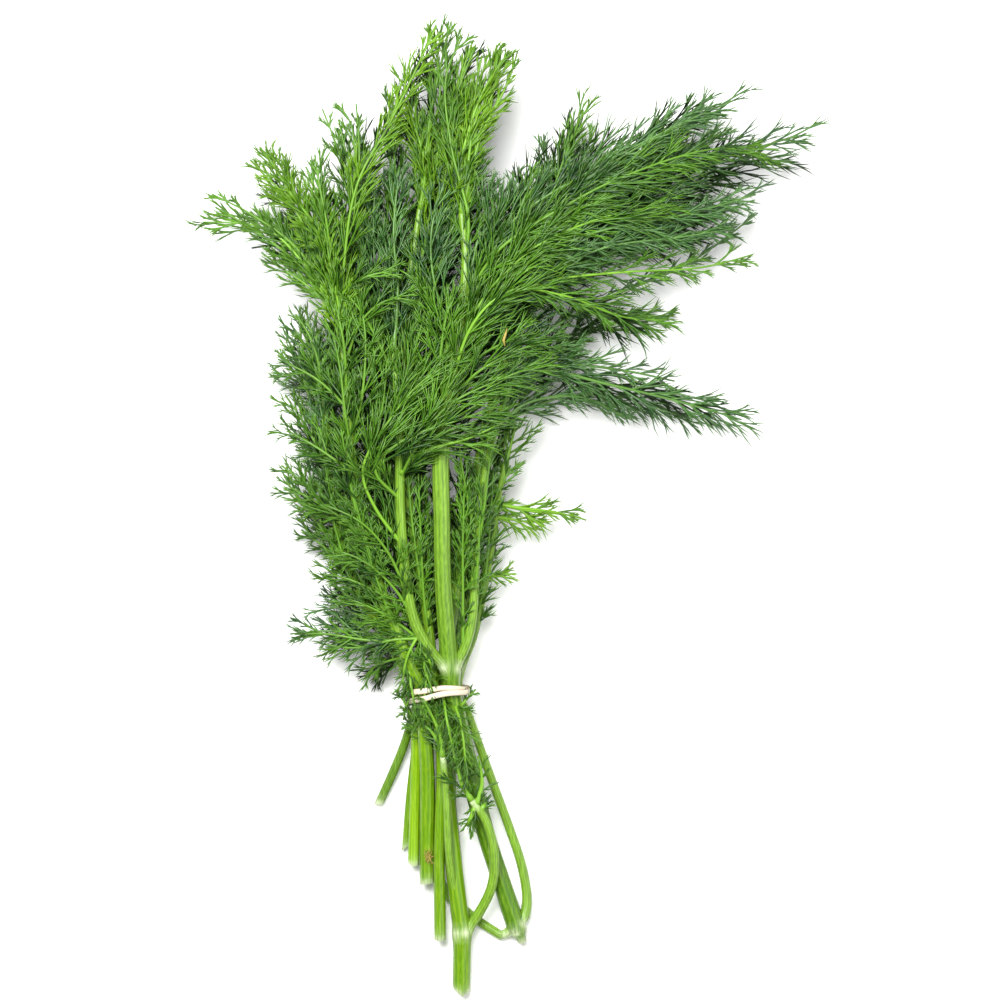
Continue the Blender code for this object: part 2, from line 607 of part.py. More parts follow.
def make_ground(cutters):
    """The cutter below the surface that the bunch lies on."""
    side, depth = 0.6, 0.05
    work = bmesh.new()
    bmesh.ops.create_cube(work, size=1, matrix=Matrix.Translation((0, 0, FLOOR_HEIGHT - depth / 2))
                          @ Matrix.Diagonal((side, side, depth, 1)))
    mesh = bpy.data.meshes.new("ground")
    work.to_mesh(mesh)
    work.free()
    ground = bpy.data.objects.new("ground", mesh)
    ground.hide_render = True
    ground.display_type = "WIRE"
    cutters.objects.link(ground)
    return ground


def band_line(stems):
    """Centre line of the rubber band: a loop wound twice round the stems, crossing itself on the right."""
    tie = place(0, TIE_Y, 0)[1]
    rows = np.vstack([smooth_line(line, 0.001) for line in stems.values()])
    half_width = BAND_SPREAD + BAND_FLATNESS * BAND_THICKNESS / 2
    rows = rows[np.abs(rows[:, 1] - tie) < half_width + GAP]
    middle = (rows[:, [0, 2]].min(0) + rows[:, [0, 2]].max(0)) / 2
    angles = np.linspace(0, 2 * math.pi, 180, endpoint=False)
    facing = np.stack([np.cos(angles), np.sin(angles)], axis=1)
    support = ((rows[:, [0, 2]] - middle) @ facing.T + rows[:, 3:4] * STEM_ALLOWANCE).max(0)
    turns = np.linspace(0, 4 * math.pi, BAND_STEPS, endpoint=False)
    line = []
    for turn in turns:
        bearing = turn + math.pi
        lean = np.cos(bearing - angles)
        front = lean > 0.2
        hull = (support[front] / lean[front]).min()
        out = hull + GAP + BAND_THICKNESS / 2 + (BAND_THICKNESS / 2 + 0.2 * GAP) * (1 + math.sin(turn / 2))
        along = BAND_SPREAD * math.cos(turn / 2)
        line.append((middle[0] + out * math.cos(bearing), tie + along, middle[1] + out * math.sin(bearing)))
    return np.array(line)


def band_node(line, finish, parts):
    """The rubber band: a round cord along the line, stretched along the stems to a flat section."""
    tie = line[:, 1].mean()
    narrow = line.copy()
    narrow[:, 1] = (line[:, 1] - tie) / BAND_FLATNESS
    loop = tube("rubber_band", narrow, np.full(len(line), BAND_THICKNESS / 2), 2, parts, closed=True)
    loop.data.transform(Matrix.Translation((0, tie, 0)) @ Matrix.Diagonal((1, BAND_FLATNESS, 1, 1)))
    finish_mesh(loop, finish)


def stem_node(name, stems, finish, parts, scratch, ground):
    """One stem with its branches, fused into one piece."""
    trunk_line = stems[(name, "main")]
    trunk = tube(name, trunk_line, trunk_line[:, 3], 1, parts)
    branches = []
    for branch in STEMS[name]:
        if branch != "main":
            line = stems[(name, branch)]
            branches.append(tube(branch, line, line[:, 3], 1, scratch))
    if branches:
        fuse(trunk, branches, scratch)
    finish_mesh(trunk, finish)
    if trunk_line[:, 2].min() < LOW_STEM:
        press_flat(trunk, ground)


def frond_node(frond, line, thicket, finish, parts, scratch):
    """One frond: its rachis with its threads fused on."""
    body = tube(frond.name, line, rachis_radii(len(line)), 0, parts)
    threads = grow_threads(frond, line, thicket)
    cones = [thread_cone(f"thread_{i}", start, end, scratch) for i, (start, end) in enumerate(threads)]
    fuse(body, cones, scratch)
    finish_mesh(body, finish)


def main():
    for item in list(bpy.data.objects):
        bpy.data.objects.remove(item)
    parts = bpy.data.collections.new("dill_bunch")
    cutters = bpy.data.collections.new("cutters")
    scratch = bpy.data.collections.new("pieces_to_join")
    for group in (parts, cutters, scratch):
        bpy.context.scene.collection.children.link(group)
    finishes = {name: material(name, colour, 0.45) for name, colour in COLOURS.items()}

    stems = {(name, branch): stem_line(points) for name, branches in STEMS.items()
             for branch, points in branches.items()}
    thicket = Thicket()
    for (name, _), line in stems.items():
        thicket.add_line(line, line[:, 3], name)
    band = band_line(stems)
    band_width = BAND_FLATNESS * BAND_THICKNESS / 2
    thicket.add_line(np.vstack([band, band[:1]]), np.full(BAND_STEPS + 1, band_width), "rubber_band")

    rachises = bend_clear({frond.name: rachis_line(frond, stems) for frond in FRONDS}, thicket)
    for name, line in rachises.items():
        thicket.add_line(line, rachis_radii(len(line)), name)

    ground = make_ground(cutters)
    for name in STEMS:
        stem_node(name, stems, finishes["stem"], parts, scratch, ground)
    band_node(band, finishes["rubber"], parts)
    for frond in FRONDS:
        frond_node(frond, rachises[frond.name], thicket, finishes[frond.tone], parts, scratch)


main()
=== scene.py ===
"""Looks of the dill bunch: dense feathery fronds, ribbed stems with pale sheaths, and a doubled rubber band.

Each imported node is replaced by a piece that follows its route. More fronds fill the bunch between, over and
under those. Metres, +Z up.
"""

import json
import math
from collections import namedtuple

import bpy
import numpy as np
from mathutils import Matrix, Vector

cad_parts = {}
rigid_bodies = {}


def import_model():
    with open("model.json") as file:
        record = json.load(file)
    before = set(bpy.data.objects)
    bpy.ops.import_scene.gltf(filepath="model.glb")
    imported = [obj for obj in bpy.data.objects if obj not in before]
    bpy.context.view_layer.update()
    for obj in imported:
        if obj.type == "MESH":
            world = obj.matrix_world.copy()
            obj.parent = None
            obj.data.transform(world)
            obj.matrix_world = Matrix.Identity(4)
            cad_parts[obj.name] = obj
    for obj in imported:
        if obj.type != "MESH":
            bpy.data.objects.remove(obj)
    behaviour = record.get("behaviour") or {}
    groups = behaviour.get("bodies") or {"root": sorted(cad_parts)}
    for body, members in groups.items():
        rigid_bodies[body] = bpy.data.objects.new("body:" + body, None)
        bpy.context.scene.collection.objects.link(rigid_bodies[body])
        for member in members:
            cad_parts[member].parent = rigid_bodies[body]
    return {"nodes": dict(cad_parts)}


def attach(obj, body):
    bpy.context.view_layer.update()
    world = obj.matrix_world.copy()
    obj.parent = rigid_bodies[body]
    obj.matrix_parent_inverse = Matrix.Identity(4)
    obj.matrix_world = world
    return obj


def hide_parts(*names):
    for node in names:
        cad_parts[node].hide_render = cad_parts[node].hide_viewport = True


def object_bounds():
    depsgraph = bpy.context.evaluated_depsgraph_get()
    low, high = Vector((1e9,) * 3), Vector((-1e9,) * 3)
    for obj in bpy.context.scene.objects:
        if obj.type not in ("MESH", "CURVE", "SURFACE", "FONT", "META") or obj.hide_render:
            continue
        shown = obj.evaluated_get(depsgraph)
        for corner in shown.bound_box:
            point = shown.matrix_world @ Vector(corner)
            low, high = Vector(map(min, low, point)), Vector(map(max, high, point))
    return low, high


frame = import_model()
cad_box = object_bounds()

MM = 0.001
BUNCH_LENGTH = 0.330
PLAN_LENGTH = 990.0
PLAN_SCALE = BUNCH_LENGTH / PLAN_LENGTH
PLAN_ORIGIN = (500.0, 503.0)
PICTURE_CENTRE = (500.0, 500.0)
PICTURE_WIDTH = 1000.0

# The tie and the rubber band
TIE_Y = 693.0
TIE_LIFT = 0.0019
TIE_SPREAD = 75.0
BAND_THICKNESS = 0.0012
BAND_FLATNESS = 2.0
BAND_SPREAD = 0.00135
BAND_GAP = 0.0003
BAND_POINTS = 160
BAND_SIDES = 16
BAND_WAVES = 9
BAND_WAVER = 0.05
BAND_TILT = 0.0011
BAND_SWAY = 0.0004
STRAND_WIDTH = 0.0020
STRAND_SPREAD = 0.00155
STEM_CLEARANCE = 1.02
BEARINGS = 180

# The stems: ribs, joints and ends, as shares of their radius or in metres
STEM_RINGS = 0.0022
STEM_SIDES = 33
RIBS = 11
RIB_DEPTH = 0.09
TWIST = 0.25
TWIST_LENGTH = 0.045
UNEVENNESS = 0.025
UNEVEN_LENGTH = 0.009
JOINT_SWELL = 0.13
JOINT_LENGTH = 0.0026
PALE_LENGTH = 0.0017
PALE_END = 0.0011
BRANCH_HEIGHT = 0.55
RIM_RINGS = ((0.30, 0.30), (0.62, 0.22), (0.84, 0.02), (0.96, -0.03))
TIP_RINGS = ((0.88, 0.40), (0.55, 0.75))
ROOT_RINGS = 3

# The fronds
SEED = 41
TIP_SHARE = 0.45
BARE_TIP = 0.85
FLOOR_CLEARANCE = 0.0003
HIGHEST_THREAD = cad_box[1][2] - 0.0004
RACHIS_STEP = 0.002
RACHIS_ROOT = 0.00072
RACHIS_TIP = 0.00030
RACHIS_SIDES = 7
STALK_RUNOUT = 0.012
STALK_END = 0.006
NODE_NEARNESS = 0.0012
PINNA_RADIUS = 0.00036
PINNA_TAPER = (1, 0.97, 0.93, 0.88, 0.8, 0.65, 0.2)
PINNULE_TAPER = (1, 0.96, 0.76, 0.10)
FORK_TAPER = (1, 0.82, 0.10)
FEWEST_PAIRS = 4
FEWEST_PINNULES = 3
MISSING_SHARE = 0.08
THREAD_LIFT = 28
WANDER = 0.11
PLANE_WANDER = 0.12
CURL_RANGE = (0.6, 1.4)
SWEEP_RANGE = (0.6, 1.35)
PLACE_RANGE = (0.1, 0.9)

# Where pinnules start along a side branch, and forks along a pinnule: first place, stretch they share
PINNULE_SPAN = (0.06, 0.72)
FORK_SPAN = (0.10, 0.48)

# Pinnules shorter than this stay single threads
SHORTEST_FORKED = 0.0042

# Frond stalks that show yellow-green from the root, the others start greener
BRIGHT_STALKS = ("frond_right_01", "frond_right_03", "frond_right_04", "frond_drape", "frond_low",
                 "frond_tie", "frond_top_08", "frond_left_06")
GREENER_START = 0.26
STALK_GREEN_END = 0.35

# Twins that lie under other fronds, coloured in the shaded tone as painted shade: depth, sideways shift in
# plan units, and how far they fall short
TWIN_DEPTH = 0.55
TWIN_SHIFT = 12
TWIN_PULL = 0.12
LEFT_TWIN_PULL = 0.24
WIDE_FILLER = 12
TWINNED = ("frond_left_0", "frond_left_1", "frond_top_0", "frond_inner", "frond_drape",
           "frond_right_01", "frond_right_02", "frond_right_03", "frond_right_05", "frond_right_07",
           "frond_right_08", "frond_right_09")

# Torn fibres on the scarred stem, and a dried sheath among the fronds
SCAR_FIBRES = 60
SCAR_PLACE = (428.5, 856, 8.9)
SCAR_SPREAD = (0.0007, 0.0011, 0.0001)
FIBRE_REACH = (0.0006, 0.0007, 0.0003)
FIBRE_LEAN = (0.0, -0.0008, 0.0001)
FIBRE_BOW = (0.0, 0.0, 0.0004)
FIBRE_RADII = (0.00013, 0.00005)
SHEATH = ((505, 347, 42.0), (503.5, 341, 42.6), (505.5, 335, 42.8), (507, 329, 42.2))
SHEATH_RADII = (0.0002, 0.0005, 0.0004, 0.0001)
SHEATH_FLATNESS = 0.4

# Material, gloss and tones of a leaf: petiole, deep, bright, tip
LEAF_LOOKS = {
    "green": ("green_threads", 0.40, (0.17, 0.37, 0.024), (0.012, 0.055, 0.004),
              (0.104, 0.265, 0.015), (0.148, 0.31, 0.023)),
    "blue": ("blue_green_threads", 0.55, (0.13, 0.29, 0.034), (0.014, 0.060, 0.012),
             (0.080, 0.205, 0.036), (0.13, 0.26, 0.050)),
    "lime": ("lime_threads", 0.35, (0.17, 0.36, 0.024), (0.040, 0.130, 0.005),
             (0.155, 0.33, 0.012), (0.20, 0.36, 0.016)),
    # The shaded tone is painted shade: near-black greens for fronds that lie under others, standing in for
    # the shade in the bunch's depths
    "shaded": ("shaded_threads", 0.20, (0.019, 0.058, 0.005), (0.003, 0.015, 0.001),
               (0.017, 0.055, 0.005), (0.028, 0.080, 0.007)),
}

# Material and tones of a stem's skin: grooves, crests. The crests are partly the stem's own paler ribs; the
# darker grooves are painted shade and the lighter crests painted light for the ribs' relief
STEM_LOOKS = {
    "stem_left": ("yellow_lime_skin", (0.13, 0.30, 0.003), (0.26, 0.43, 0.006)),
    "stem_forked": ("deep_green_skin", (0.040, 0.13, 0.003), (0.145, 0.28, 0.012)),
    "stem_stray": ("dull_green_skin", (0.055, 0.14, 0.004), (0.14, 0.27, 0.015)),
}
OTHER_STEMS = ("lime_skin", (0.075, 0.20, 0.002), (0.19, 0.34, 0.005))
UPPER_GREEN = (0.24, 0.46, 0.040)
# The upper grooves are darker as painted shade of the ribs' relief
UPPER_GROOVE = 0.42

Frond = namedtuple("Frond", "name parent path reach habit tone")
Shoots = namedtuple("Shoots", "lines planes lengths tints order")

# Spacing of the side branches in metres, angles in degrees, other lengths as shares
Habit = namedtuple("Habit", "spacing sweep curl pinnule_gap pinnule_sweep pinnule_share forks fork_sweep "
                            "fork_share lift thread bare")
HABITS = {
    "fern": Habit(0.0046, 37, 0.35, 0.0026, 27, 0.64, 2, 22, 0.74, 26, 0.00028, 0.04),
    "brush": Habit(0.0060, 26, 0.20, 0.0042, 18, 0.82, 2, 14, 0.88, 24, 0.00032, 0.04),
    "sparse": Habit(0.0072, 32, 0.20, 0.0045, 22, 0.78, 2, 17, 0.78, 22, 0.00030, 0.25),
    "curly": Habit(0.0027, 44, 0.15, 0.0015, 32, 0.70, 2, 26, 0.72, 35, 0.00022, 0.04),
}

# How a stem's cut end leaves the square, in shares of its radius: slant, depth and place of a point
CUTS = {
    "stem_long": (-0.15, 0.75, 0.1),
    "stem_scarred": (0.15, 0.0, 0.0),
    "stem_centre": (0.0, 0.15, 0.0),
    "stem_left": (-0.1, 0.5, 0.1),
    "stem_hidden_left": (0.9, 0.0, 0.0),
    "stem_forked": (0.0, 0.3, 0.0),
    "stem_stray": (0.4, 0.0, 0.0),
    "stem_hidden_right": (0.3, 0.0, 0.0),
}
SQUARE_CUT = (0.0, 0.0, 0.0)

# Whitish patches where a stalk or a leaf sheath leaves its stem, in plan
PALE_SPOTS = {
    "stem_long": ((456, 935), (466, 934), (443, 759), (473, 804)),
    "stem_forked": ((443, 668), (460, 668), (507, 938), (515, 935), (526, 926)),
}

# A stem's point holds plan x, plan y, height and radius in millimetres
STEMS = {
    "stem_stray": {
        "main": ((378, 806, 1.1, 1.5), (392, 775, 2.2, 1.5), (404, 745, 3.0, 1.4), (413, 715, 4.5, 1.35),
                 (417.2, 693, 5.05, 1.3), (402, 660, 6.5, 1.3), (382, 620, 8, 1.25), (362, 570, 9, 1.2),
                 (352, 500, 9.5, 1.1), (350, 430, 10, 1.0), (352, 360, 10, 0.9)),
    },
    "stem_hidden_left": {
        "main": ((405, 851, 1.6, 1.2), (409, 800, 2.4, 1.2), (416, 745, 3.9, 1.2), (424, 715, 5.6, 1.25),
                 (428, 693, 8.05, 1.3), (420, 650, 11.5, 1.3), (408, 600, 14.5, 1.3), (398, 540, 17, 1.2),
                 (390, 480, 18, 1.2), (380, 420, 19, 1.1), (372, 360, 19.5, 1.1), (368, 300, 19, 1.0)),
    },
    "stem_left": {
        "main": ((413, 868, 4.4, 1.85), (414, 830, 5.2, 1.8), (415.5, 780, 6.6, 1.8),
                 (416.5, 735, 8.1, 1.8), (416.3, 693, 9.05, 1.75), (396, 655, 12.5, 1.7),
                 (372, 615, 15.5, 1.6), (350, 570, 17.5, 1.5), (336, 520, 19, 1.4), (328, 460, 20, 1.2),
                 (325, 400, 20.5, 1.0)),
    },
    "stem_scarred": {
        "main": ((427, 885, 5.0, 2.5), (427, 840, 7.0, 2.5), (427, 780, 10.2, 2.45),
                 (424.6, 735, 13.0, 2.3), (422.4, 693, 13.4, 2.2), (406, 655, 17.5, 2.2),
                 (388, 610, 22, 2.1), (370, 560, 26, 2.0), (357, 500, 29, 1.8), (350, 440, 31, 1.6),
                 (345, 380, 32, 1.4), (339, 320, 32.5, 1.2), (330, 270, 32, 1.0)),
    },
    "stem_centre": {
        "main": ((440, 942, 4.8, 1.9), (439.5, 900, 6.6, 1.9), (439, 860, 9.0, 1.85),
                 (440, 820, 11.0, 1.8), (441.5, 760, 11.2, 1.75), (434.6, 693, 11.35, 1.7),
                 (431, 650, 13.6, 1.7), (424, 600, 17.5, 1.6), (416, 550, 21, 1.6), (408, 490, 23.5, 1.5),
                 (405, 420, 25, 1.4), (405, 350, 26, 1.3), (410, 280, 26.5, 1.1), (420, 210, 26, 1.0)),
    },
    "stem_long": {
        "main": ((461, 998, 2.2, 2.8), (462, 938, 5.2, 3.0), (459, 911, 6.7, 2.9), (453, 860, 7.3, 2.8),
                 (448, 810, 7.4, 2.7), (445, 760, 7.0, 2.6), (442.7, 693, 6.15, 2.5), (446, 650, 9, 2.3),
                 (454, 600, 12.5, 2.2), (464, 550, 15.5, 2.1), (474, 490, 18, 1.9), (486, 430, 20, 1.7),
                 (500, 380, 21, 1.5), (518, 330, 21.5, 1.3), (540, 285, 21, 1.1)),
        "looped_stalk": ((463, 936, 5.4, 1.8), (478, 916, 6.8, 1.7), (492, 886, 9.8, 1.6),
                 (494, 852, 12.6, 1.5), (486, 822, 14.2, 1.4), (472, 801, 15.0, 1.2)),
        "short_stalk": ((454, 893, 8.0, 1.3), (449, 855, 12.0, 1.25), (447, 815, 14.6, 1.2),
                 (445, 780, 15.4, 1.15), (443, 757, 16.4, 1.1)),
    },
    "stem_forked": {
        "main": ((523, 945, 2.2, 1.4), (520.5, 938, 2.4, 1.6), (517, 930, 2.8, 2.9), (503, 888, 4.6, 3.0),
                 (488, 842, 6.2, 2.95), (474, 790, 8.2, 3.0), (463, 742, 10.2, 3.0),
                 (452, 693, 11.75, 3.0), (450, 672, 13.3, 3.2), (447, 635, 17.5, 2.9),
                 (443, 580, 23, 2.8), (442, 520, 28, 2.8), (441, 460, 31, 2.7), (446, 410, 32.5, 2.4),
                 (455, 360, 33, 2.1), (463, 310, 33, 1.8), (466, 260, 32.5, 1.5), (462, 215, 32, 1.2)),
        "left_fork": ((449, 671, 14.5, 2.0), (441, 663, 17.0, 1.9), (430, 650, 19.0, 1.9),
                 (416, 625, 22.5, 1.85), (408, 595, 25.5, 1.8), (404, 560, 27.5, 1.75),
                 (401, 520, 29.5, 1.7), (400, 480, 31, 1.6), (400, 440, 32.5, 1.4), (398, 400, 33, 1.2),
                 (394, 350, 33, 1.1)),
        "right_fork": ((452, 668, 14, 1.7), (464, 650, 15.5, 1.6), (472, 620, 17.5, 1.5),
                 (475, 580, 19.5, 1.4), (477, 540, 21.5, 1.4), (481, 500, 23.5, 1.3), (488, 460, 25, 1.2),
                 (498, 420, 26.5, 1.1), (512, 385, 27.5, 1.0)),
        "outer_stalk": ((519, 933, 3.0, 1.9), (527, 905, 2.6, 1.6), (522, 868, 3.0, 1.55),
                 (509, 828, 4.0, 1.5), (494, 787, 5.4, 1.4), (480, 748, 6.4, 1.35), (468, 714, 6.8, 1.3),
                 (458.3, 693, 6.75, 1.3), (462, 668, 7, 1.3), (474, 635, 9, 1.3), (484, 590, 11.5, 1.2),
                 (492, 545, 14, 1.1), (498, 500, 16, 1.0), (505, 465, 17, 0.9)),
        "under_stalk": ((516, 934, 2.4, 1.7), (503, 937, 1.8, 1.6), (483, 926, 1.15, 1.5),
                 (465, 912, 1.15, 1.45), (448, 898, 1.15, 1.45), (438, 872, 1.2, 1.4),
                 (432, 830, 1.5, 1.4), (429.5, 770, 2.0, 1.4), (429, 693, 2.45, 1.4),
                 (426, 650, 3.2, 1.3), (420, 600, 4.2, 1.3), (418, 530, 5.5, 1.2), (424, 460, 7, 1.1),
                 (440, 390, 8, 1.0), (465, 330, 8.5, 0.9)),
    },
    "stem_hidden_right": {
        "main": ((455, 868, 0.95, 1.3), (452, 800, 1.6, 1.3), (452, 745, 2.0, 1.4),
                 (450.8, 693, 2.45, 1.4), (456, 650, 3, 1.4), (466, 600, 4, 1.3), (478, 540, 5, 1.2),
                 (492, 480, 6, 1.1), (512, 420, 7, 1.0), (540, 370, 7.5, 0.9)),
    },
}

SCARRED = ("stem_scarred", "main")
LEFT = ("stem_left", "main")
STRAY = ("stem_stray", "main")
HIDDEN_LEFT = ("stem_hidden_left", "main")
CENTRE = ("stem_centre", "main")
FORKED = ("stem_forked", "main")
LEFT_FORK = ("stem_forked", "left_fork")
RIGHT_FORK = ("stem_forked", "right_fork")
OUTER_STALK = ("stem_forked", "outer_stalk")
UNDER_STALK = ("stem_forked", "under_stalk")
LONG = ("stem_long", "main")
LOOPED_STALK = ("stem_long", "looped_stalk")
SHORT_STALK = ("stem_long", "short_stalk")
HIDDEN_RIGHT = ("stem_hidden_right", "main")

def fronds(*rows):
    """Fronds from rows of name, stem, tone and habit, reach and route.

    A route's first point is where the frond leaves its stem, the others hold plan x, plan y and height.
    Reach is the length of the longest side branches in millimetres.
    """
    made = []
    for name, parent, look, reach, path in rows:
        tone, habit = look.split()
        made.append(Frond("frond_" + name, parent, path, reach, habit, tone))
    return tuple(made)


FRONDS = fronds(
    # The left mass
    ("left_01", SCARRED, "blue fern", 13, ((402, 645), (372, 634, 18), (330, 631, 16), (272, 636, 12))),
    ("left_02", SCARRED, "green fern", 14, ((380, 592), (345, 578, 24), (303, 572, 21))),
    ("left_03", SCARRED, "green fern", 14, ((364, 535), (325, 507, 27), (274, 478, 23))),
    ("left_04", SCARRED, "green fern", 14, ((354, 475), (318, 448, 30), (272, 422, 26))),
    ("left_05", SCARRED, "green fern", 14, ((347, 405), (315, 378, 32), (262, 352, 28))),
    ("left_06", SCARRED, "green brush", 16, ((337, 310), (305, 265, 33), (262, 228, 31), (180, 222, 27))),
    ("left_07", SCARRED, "lime fern", 15, ((331, 275), (316, 228, 33), (292, 195, 32), (258, 140, 29))),
    ("left_08", SCARRED, "green brush", 12, ((334, 290), (328, 230, 35), (319, 180, 34), (313, 138, 32))),
    ("left_09", LEFT, "green fern", 10, ((400, 662), (384, 660, 11), (357, 684, 6))),
    ("left_10", LEFT, "blue fern", 13, ((376, 620), (350, 612, 14), (306, 600, 11))),
    ("left_11", LEFT, "green fern", 13, ((353, 575), (325, 548, 17), (287, 520, 14))),
    ("left_12", LEFT, "green fern", 13, ((337, 525), (305, 485, 18), (267, 455, 15))),
    ("left_13", LEFT, "green fern", 13, ((329, 465), (305, 425, 19), (275, 380, 16))),
    ("left_14", LEFT, "blue fern", 14, ((325, 402), (310, 355, 20), (280, 308, 17))),
    ("under_02", STRAY, "green fern", 13, ((362, 570), (330, 540, 5), (298, 532, 0.3))),
    ("under_03", STRAY, "green fern", 13, ((352, 500), (325, 460, 7), (290, 440, 3))),
    ("under_04", STRAY, "blue fern", 14, ((350, 430), (318, 395, 6), (285, 345, 0.3))),
    ("under_05", STRAY, "green brush", 15, ((352, 362), (342, 300, 9), (312, 250, 5), (265, 212, 0.3))),
    # The top
    ("top_01", SCARRED, "lime brush", 15, ((342, 345), (345, 260, 35), (358, 185, 36), (395, 115, 34),
     (444, 12, 30))),
    ("top_02", HIDDEN_LEFT, "green sparse", 13, ((368, 305), (362, 230, 21), (356, 165, 22),
     (350, 122, 22), (326, 92, 20))),
    ("top_03", HIDDEN_LEFT, "green brush", 14, ((374, 375), (391, 290, 21), (396, 190, 21), (388, 82, 18))),
    ("top_04", CENTRE, "green brush", 14, ((420, 212), (430, 150, 26), (440, 90, 25), (432, 12, 22))),
    ("top_05", CENTRE, "lime brush", 15, ((408, 300), (430, 230, 28), (448, 150, 28), (462, 60, 25))),
    ("top_06", CENTRE, "blue brush", 15, ((404, 390), (385, 320, 27), (374, 250, 28), (376, 165, 27))),
    ("top_07", LEFT_FORK, "blue brush", 15, ((394, 352), (398, 290, 33), (394, 230, 32), (402, 150, 30))),
    ("top_08", FORKED, "lime brush", 15, ((462, 217), (462, 160, 31), (482, 95, 30), (517, 40, 27))),
    ("top_09", FORKED, "blue brush", 15, ((457, 345), (436, 290, 35), (432, 230, 35), (452, 160, 33))),
    # The inside, and the fronds that drape over the stems
    ("inner_01", SCARRED, "green brush", 14, ((357, 500), (372, 455, 33), (384, 400, 35), (388, 345, 35))),
    ("inner_02", HIDDEN_LEFT, "blue fern", 13, ((394, 510), (376, 450, 20), (362, 390, 21))),
    ("drape_01", LEFT_FORK, "green brush", 20, ((402, 548), (378, 512, 31), (364, 480, 36),
     (368, 455, 38), (392, 418, 40), (425, 380, 40), (480, 350, 38))),
    ("drape_02", LEFT_FORK, "green brush", 14, ((400, 475), (422, 452, 37), (470, 438, 39),
     (525, 412, 36))),
    # The right mass
    ("right_01", FORKED, "green brush", 20, ((452, 375), (480, 305, 37), (520, 260, 38), (556, 237, 38),
     (620, 214, 36), (700, 204, 32))),
    ("right_02", FORKED, "blue brush", 20, ((463, 300), (510, 225, 35), (590, 172, 35), (680, 125, 32),
     (755, 92, 28))),
    ("right_03", FORKED, "green brush", 17, ((447, 405), (470, 330, 38), (510, 292, 41), (565, 297, 40),
     (625, 318, 36), (690, 321, 31))),
    ("right_04", FORKED, "green sparse", 15, ((455, 355), (490, 312, 35), (545, 283, 35), (620, 273, 32),
     (700, 268, 28), (770, 250, 24))),
    ("right_05", RIGHT_FORK, "blue brush", 17, ((512, 387), (545, 371, 29), (610, 385, 27),
     (680, 402, 22), (764, 426, 15))),
    ("right_06", RIGHT_FORK, "blue brush", 11, ((495, 430), (530, 402, 25), (585, 398, 21),
     (640, 428, 14))),
    ("right_07", LONG, "blue brush", 20, ((540, 287), (600, 222, 24), (680, 175, 23), (760, 147, 20),
     (824, 129, 17))),
    ("right_08", LONG, "green brush", 15, ((520, 327), (535, 250, 23), (560, 170, 20), (590, 93, 14))),
    ("right_09", LONG, "blue brush", 17, ((530, 305), (590, 230, 20), (650, 165, 16), (705, 84, 11))),
    ("right_10", LONG, "blue brush", 8, ((502, 375), (550, 330, 20), (610, 297, 16), (690, 262, 12),
     (768, 205, 8))),
    # Low on the right
    ("low_01", OUTER_STALK, "lime brush", 11, ((498, 503), (520, 508, 16), (555, 512, 14), (592, 522, 12))),
    ("low_02", OUTER_STALK, "lime fern", 7, ((487, 578), (500, 576, 12), (520, 565, 11))),
    ("low_03", OUTER_STALK, "green fern", 12, ((504, 468), (512, 440, 17), (520, 405, 17))),
    ("under_06", UNDER_STALK, "blue brush", 20, ((464, 333), (520, 250, 9), (600, 185, 4.5),
     (700, 150, 0.3))),
    ("under_07", UNDER_STALK, "green brush", 17, ((428, 445), (418, 360, 8), (414, 270, 8), (430, 180, 4),
     (470, 90, 0.3))),
    ("under_08", HIDDEN_RIGHT, "green brush", 12, ((538, 373), (590, 330, 7), (650, 318, 3.5),
     (686, 322, 0.3))),
    ("under_09", HIDDEN_RIGHT, "blue brush", 15, ((515, 415), (570, 395, 6), (640, 400, 3.5),
     (705, 425, 0.3))),
    ("tie_01", LOOPED_STALK, "green fern", 10, ((472, 801), (462, 785, 16), (456, 760, 17),
     (450, 742, 18))),
    ("tie_02", SHORT_STALK, "green fern", 10, ((443, 757), (440, 735, 18), (430, 712, 20),
     (416, 688, 20.5))),
)
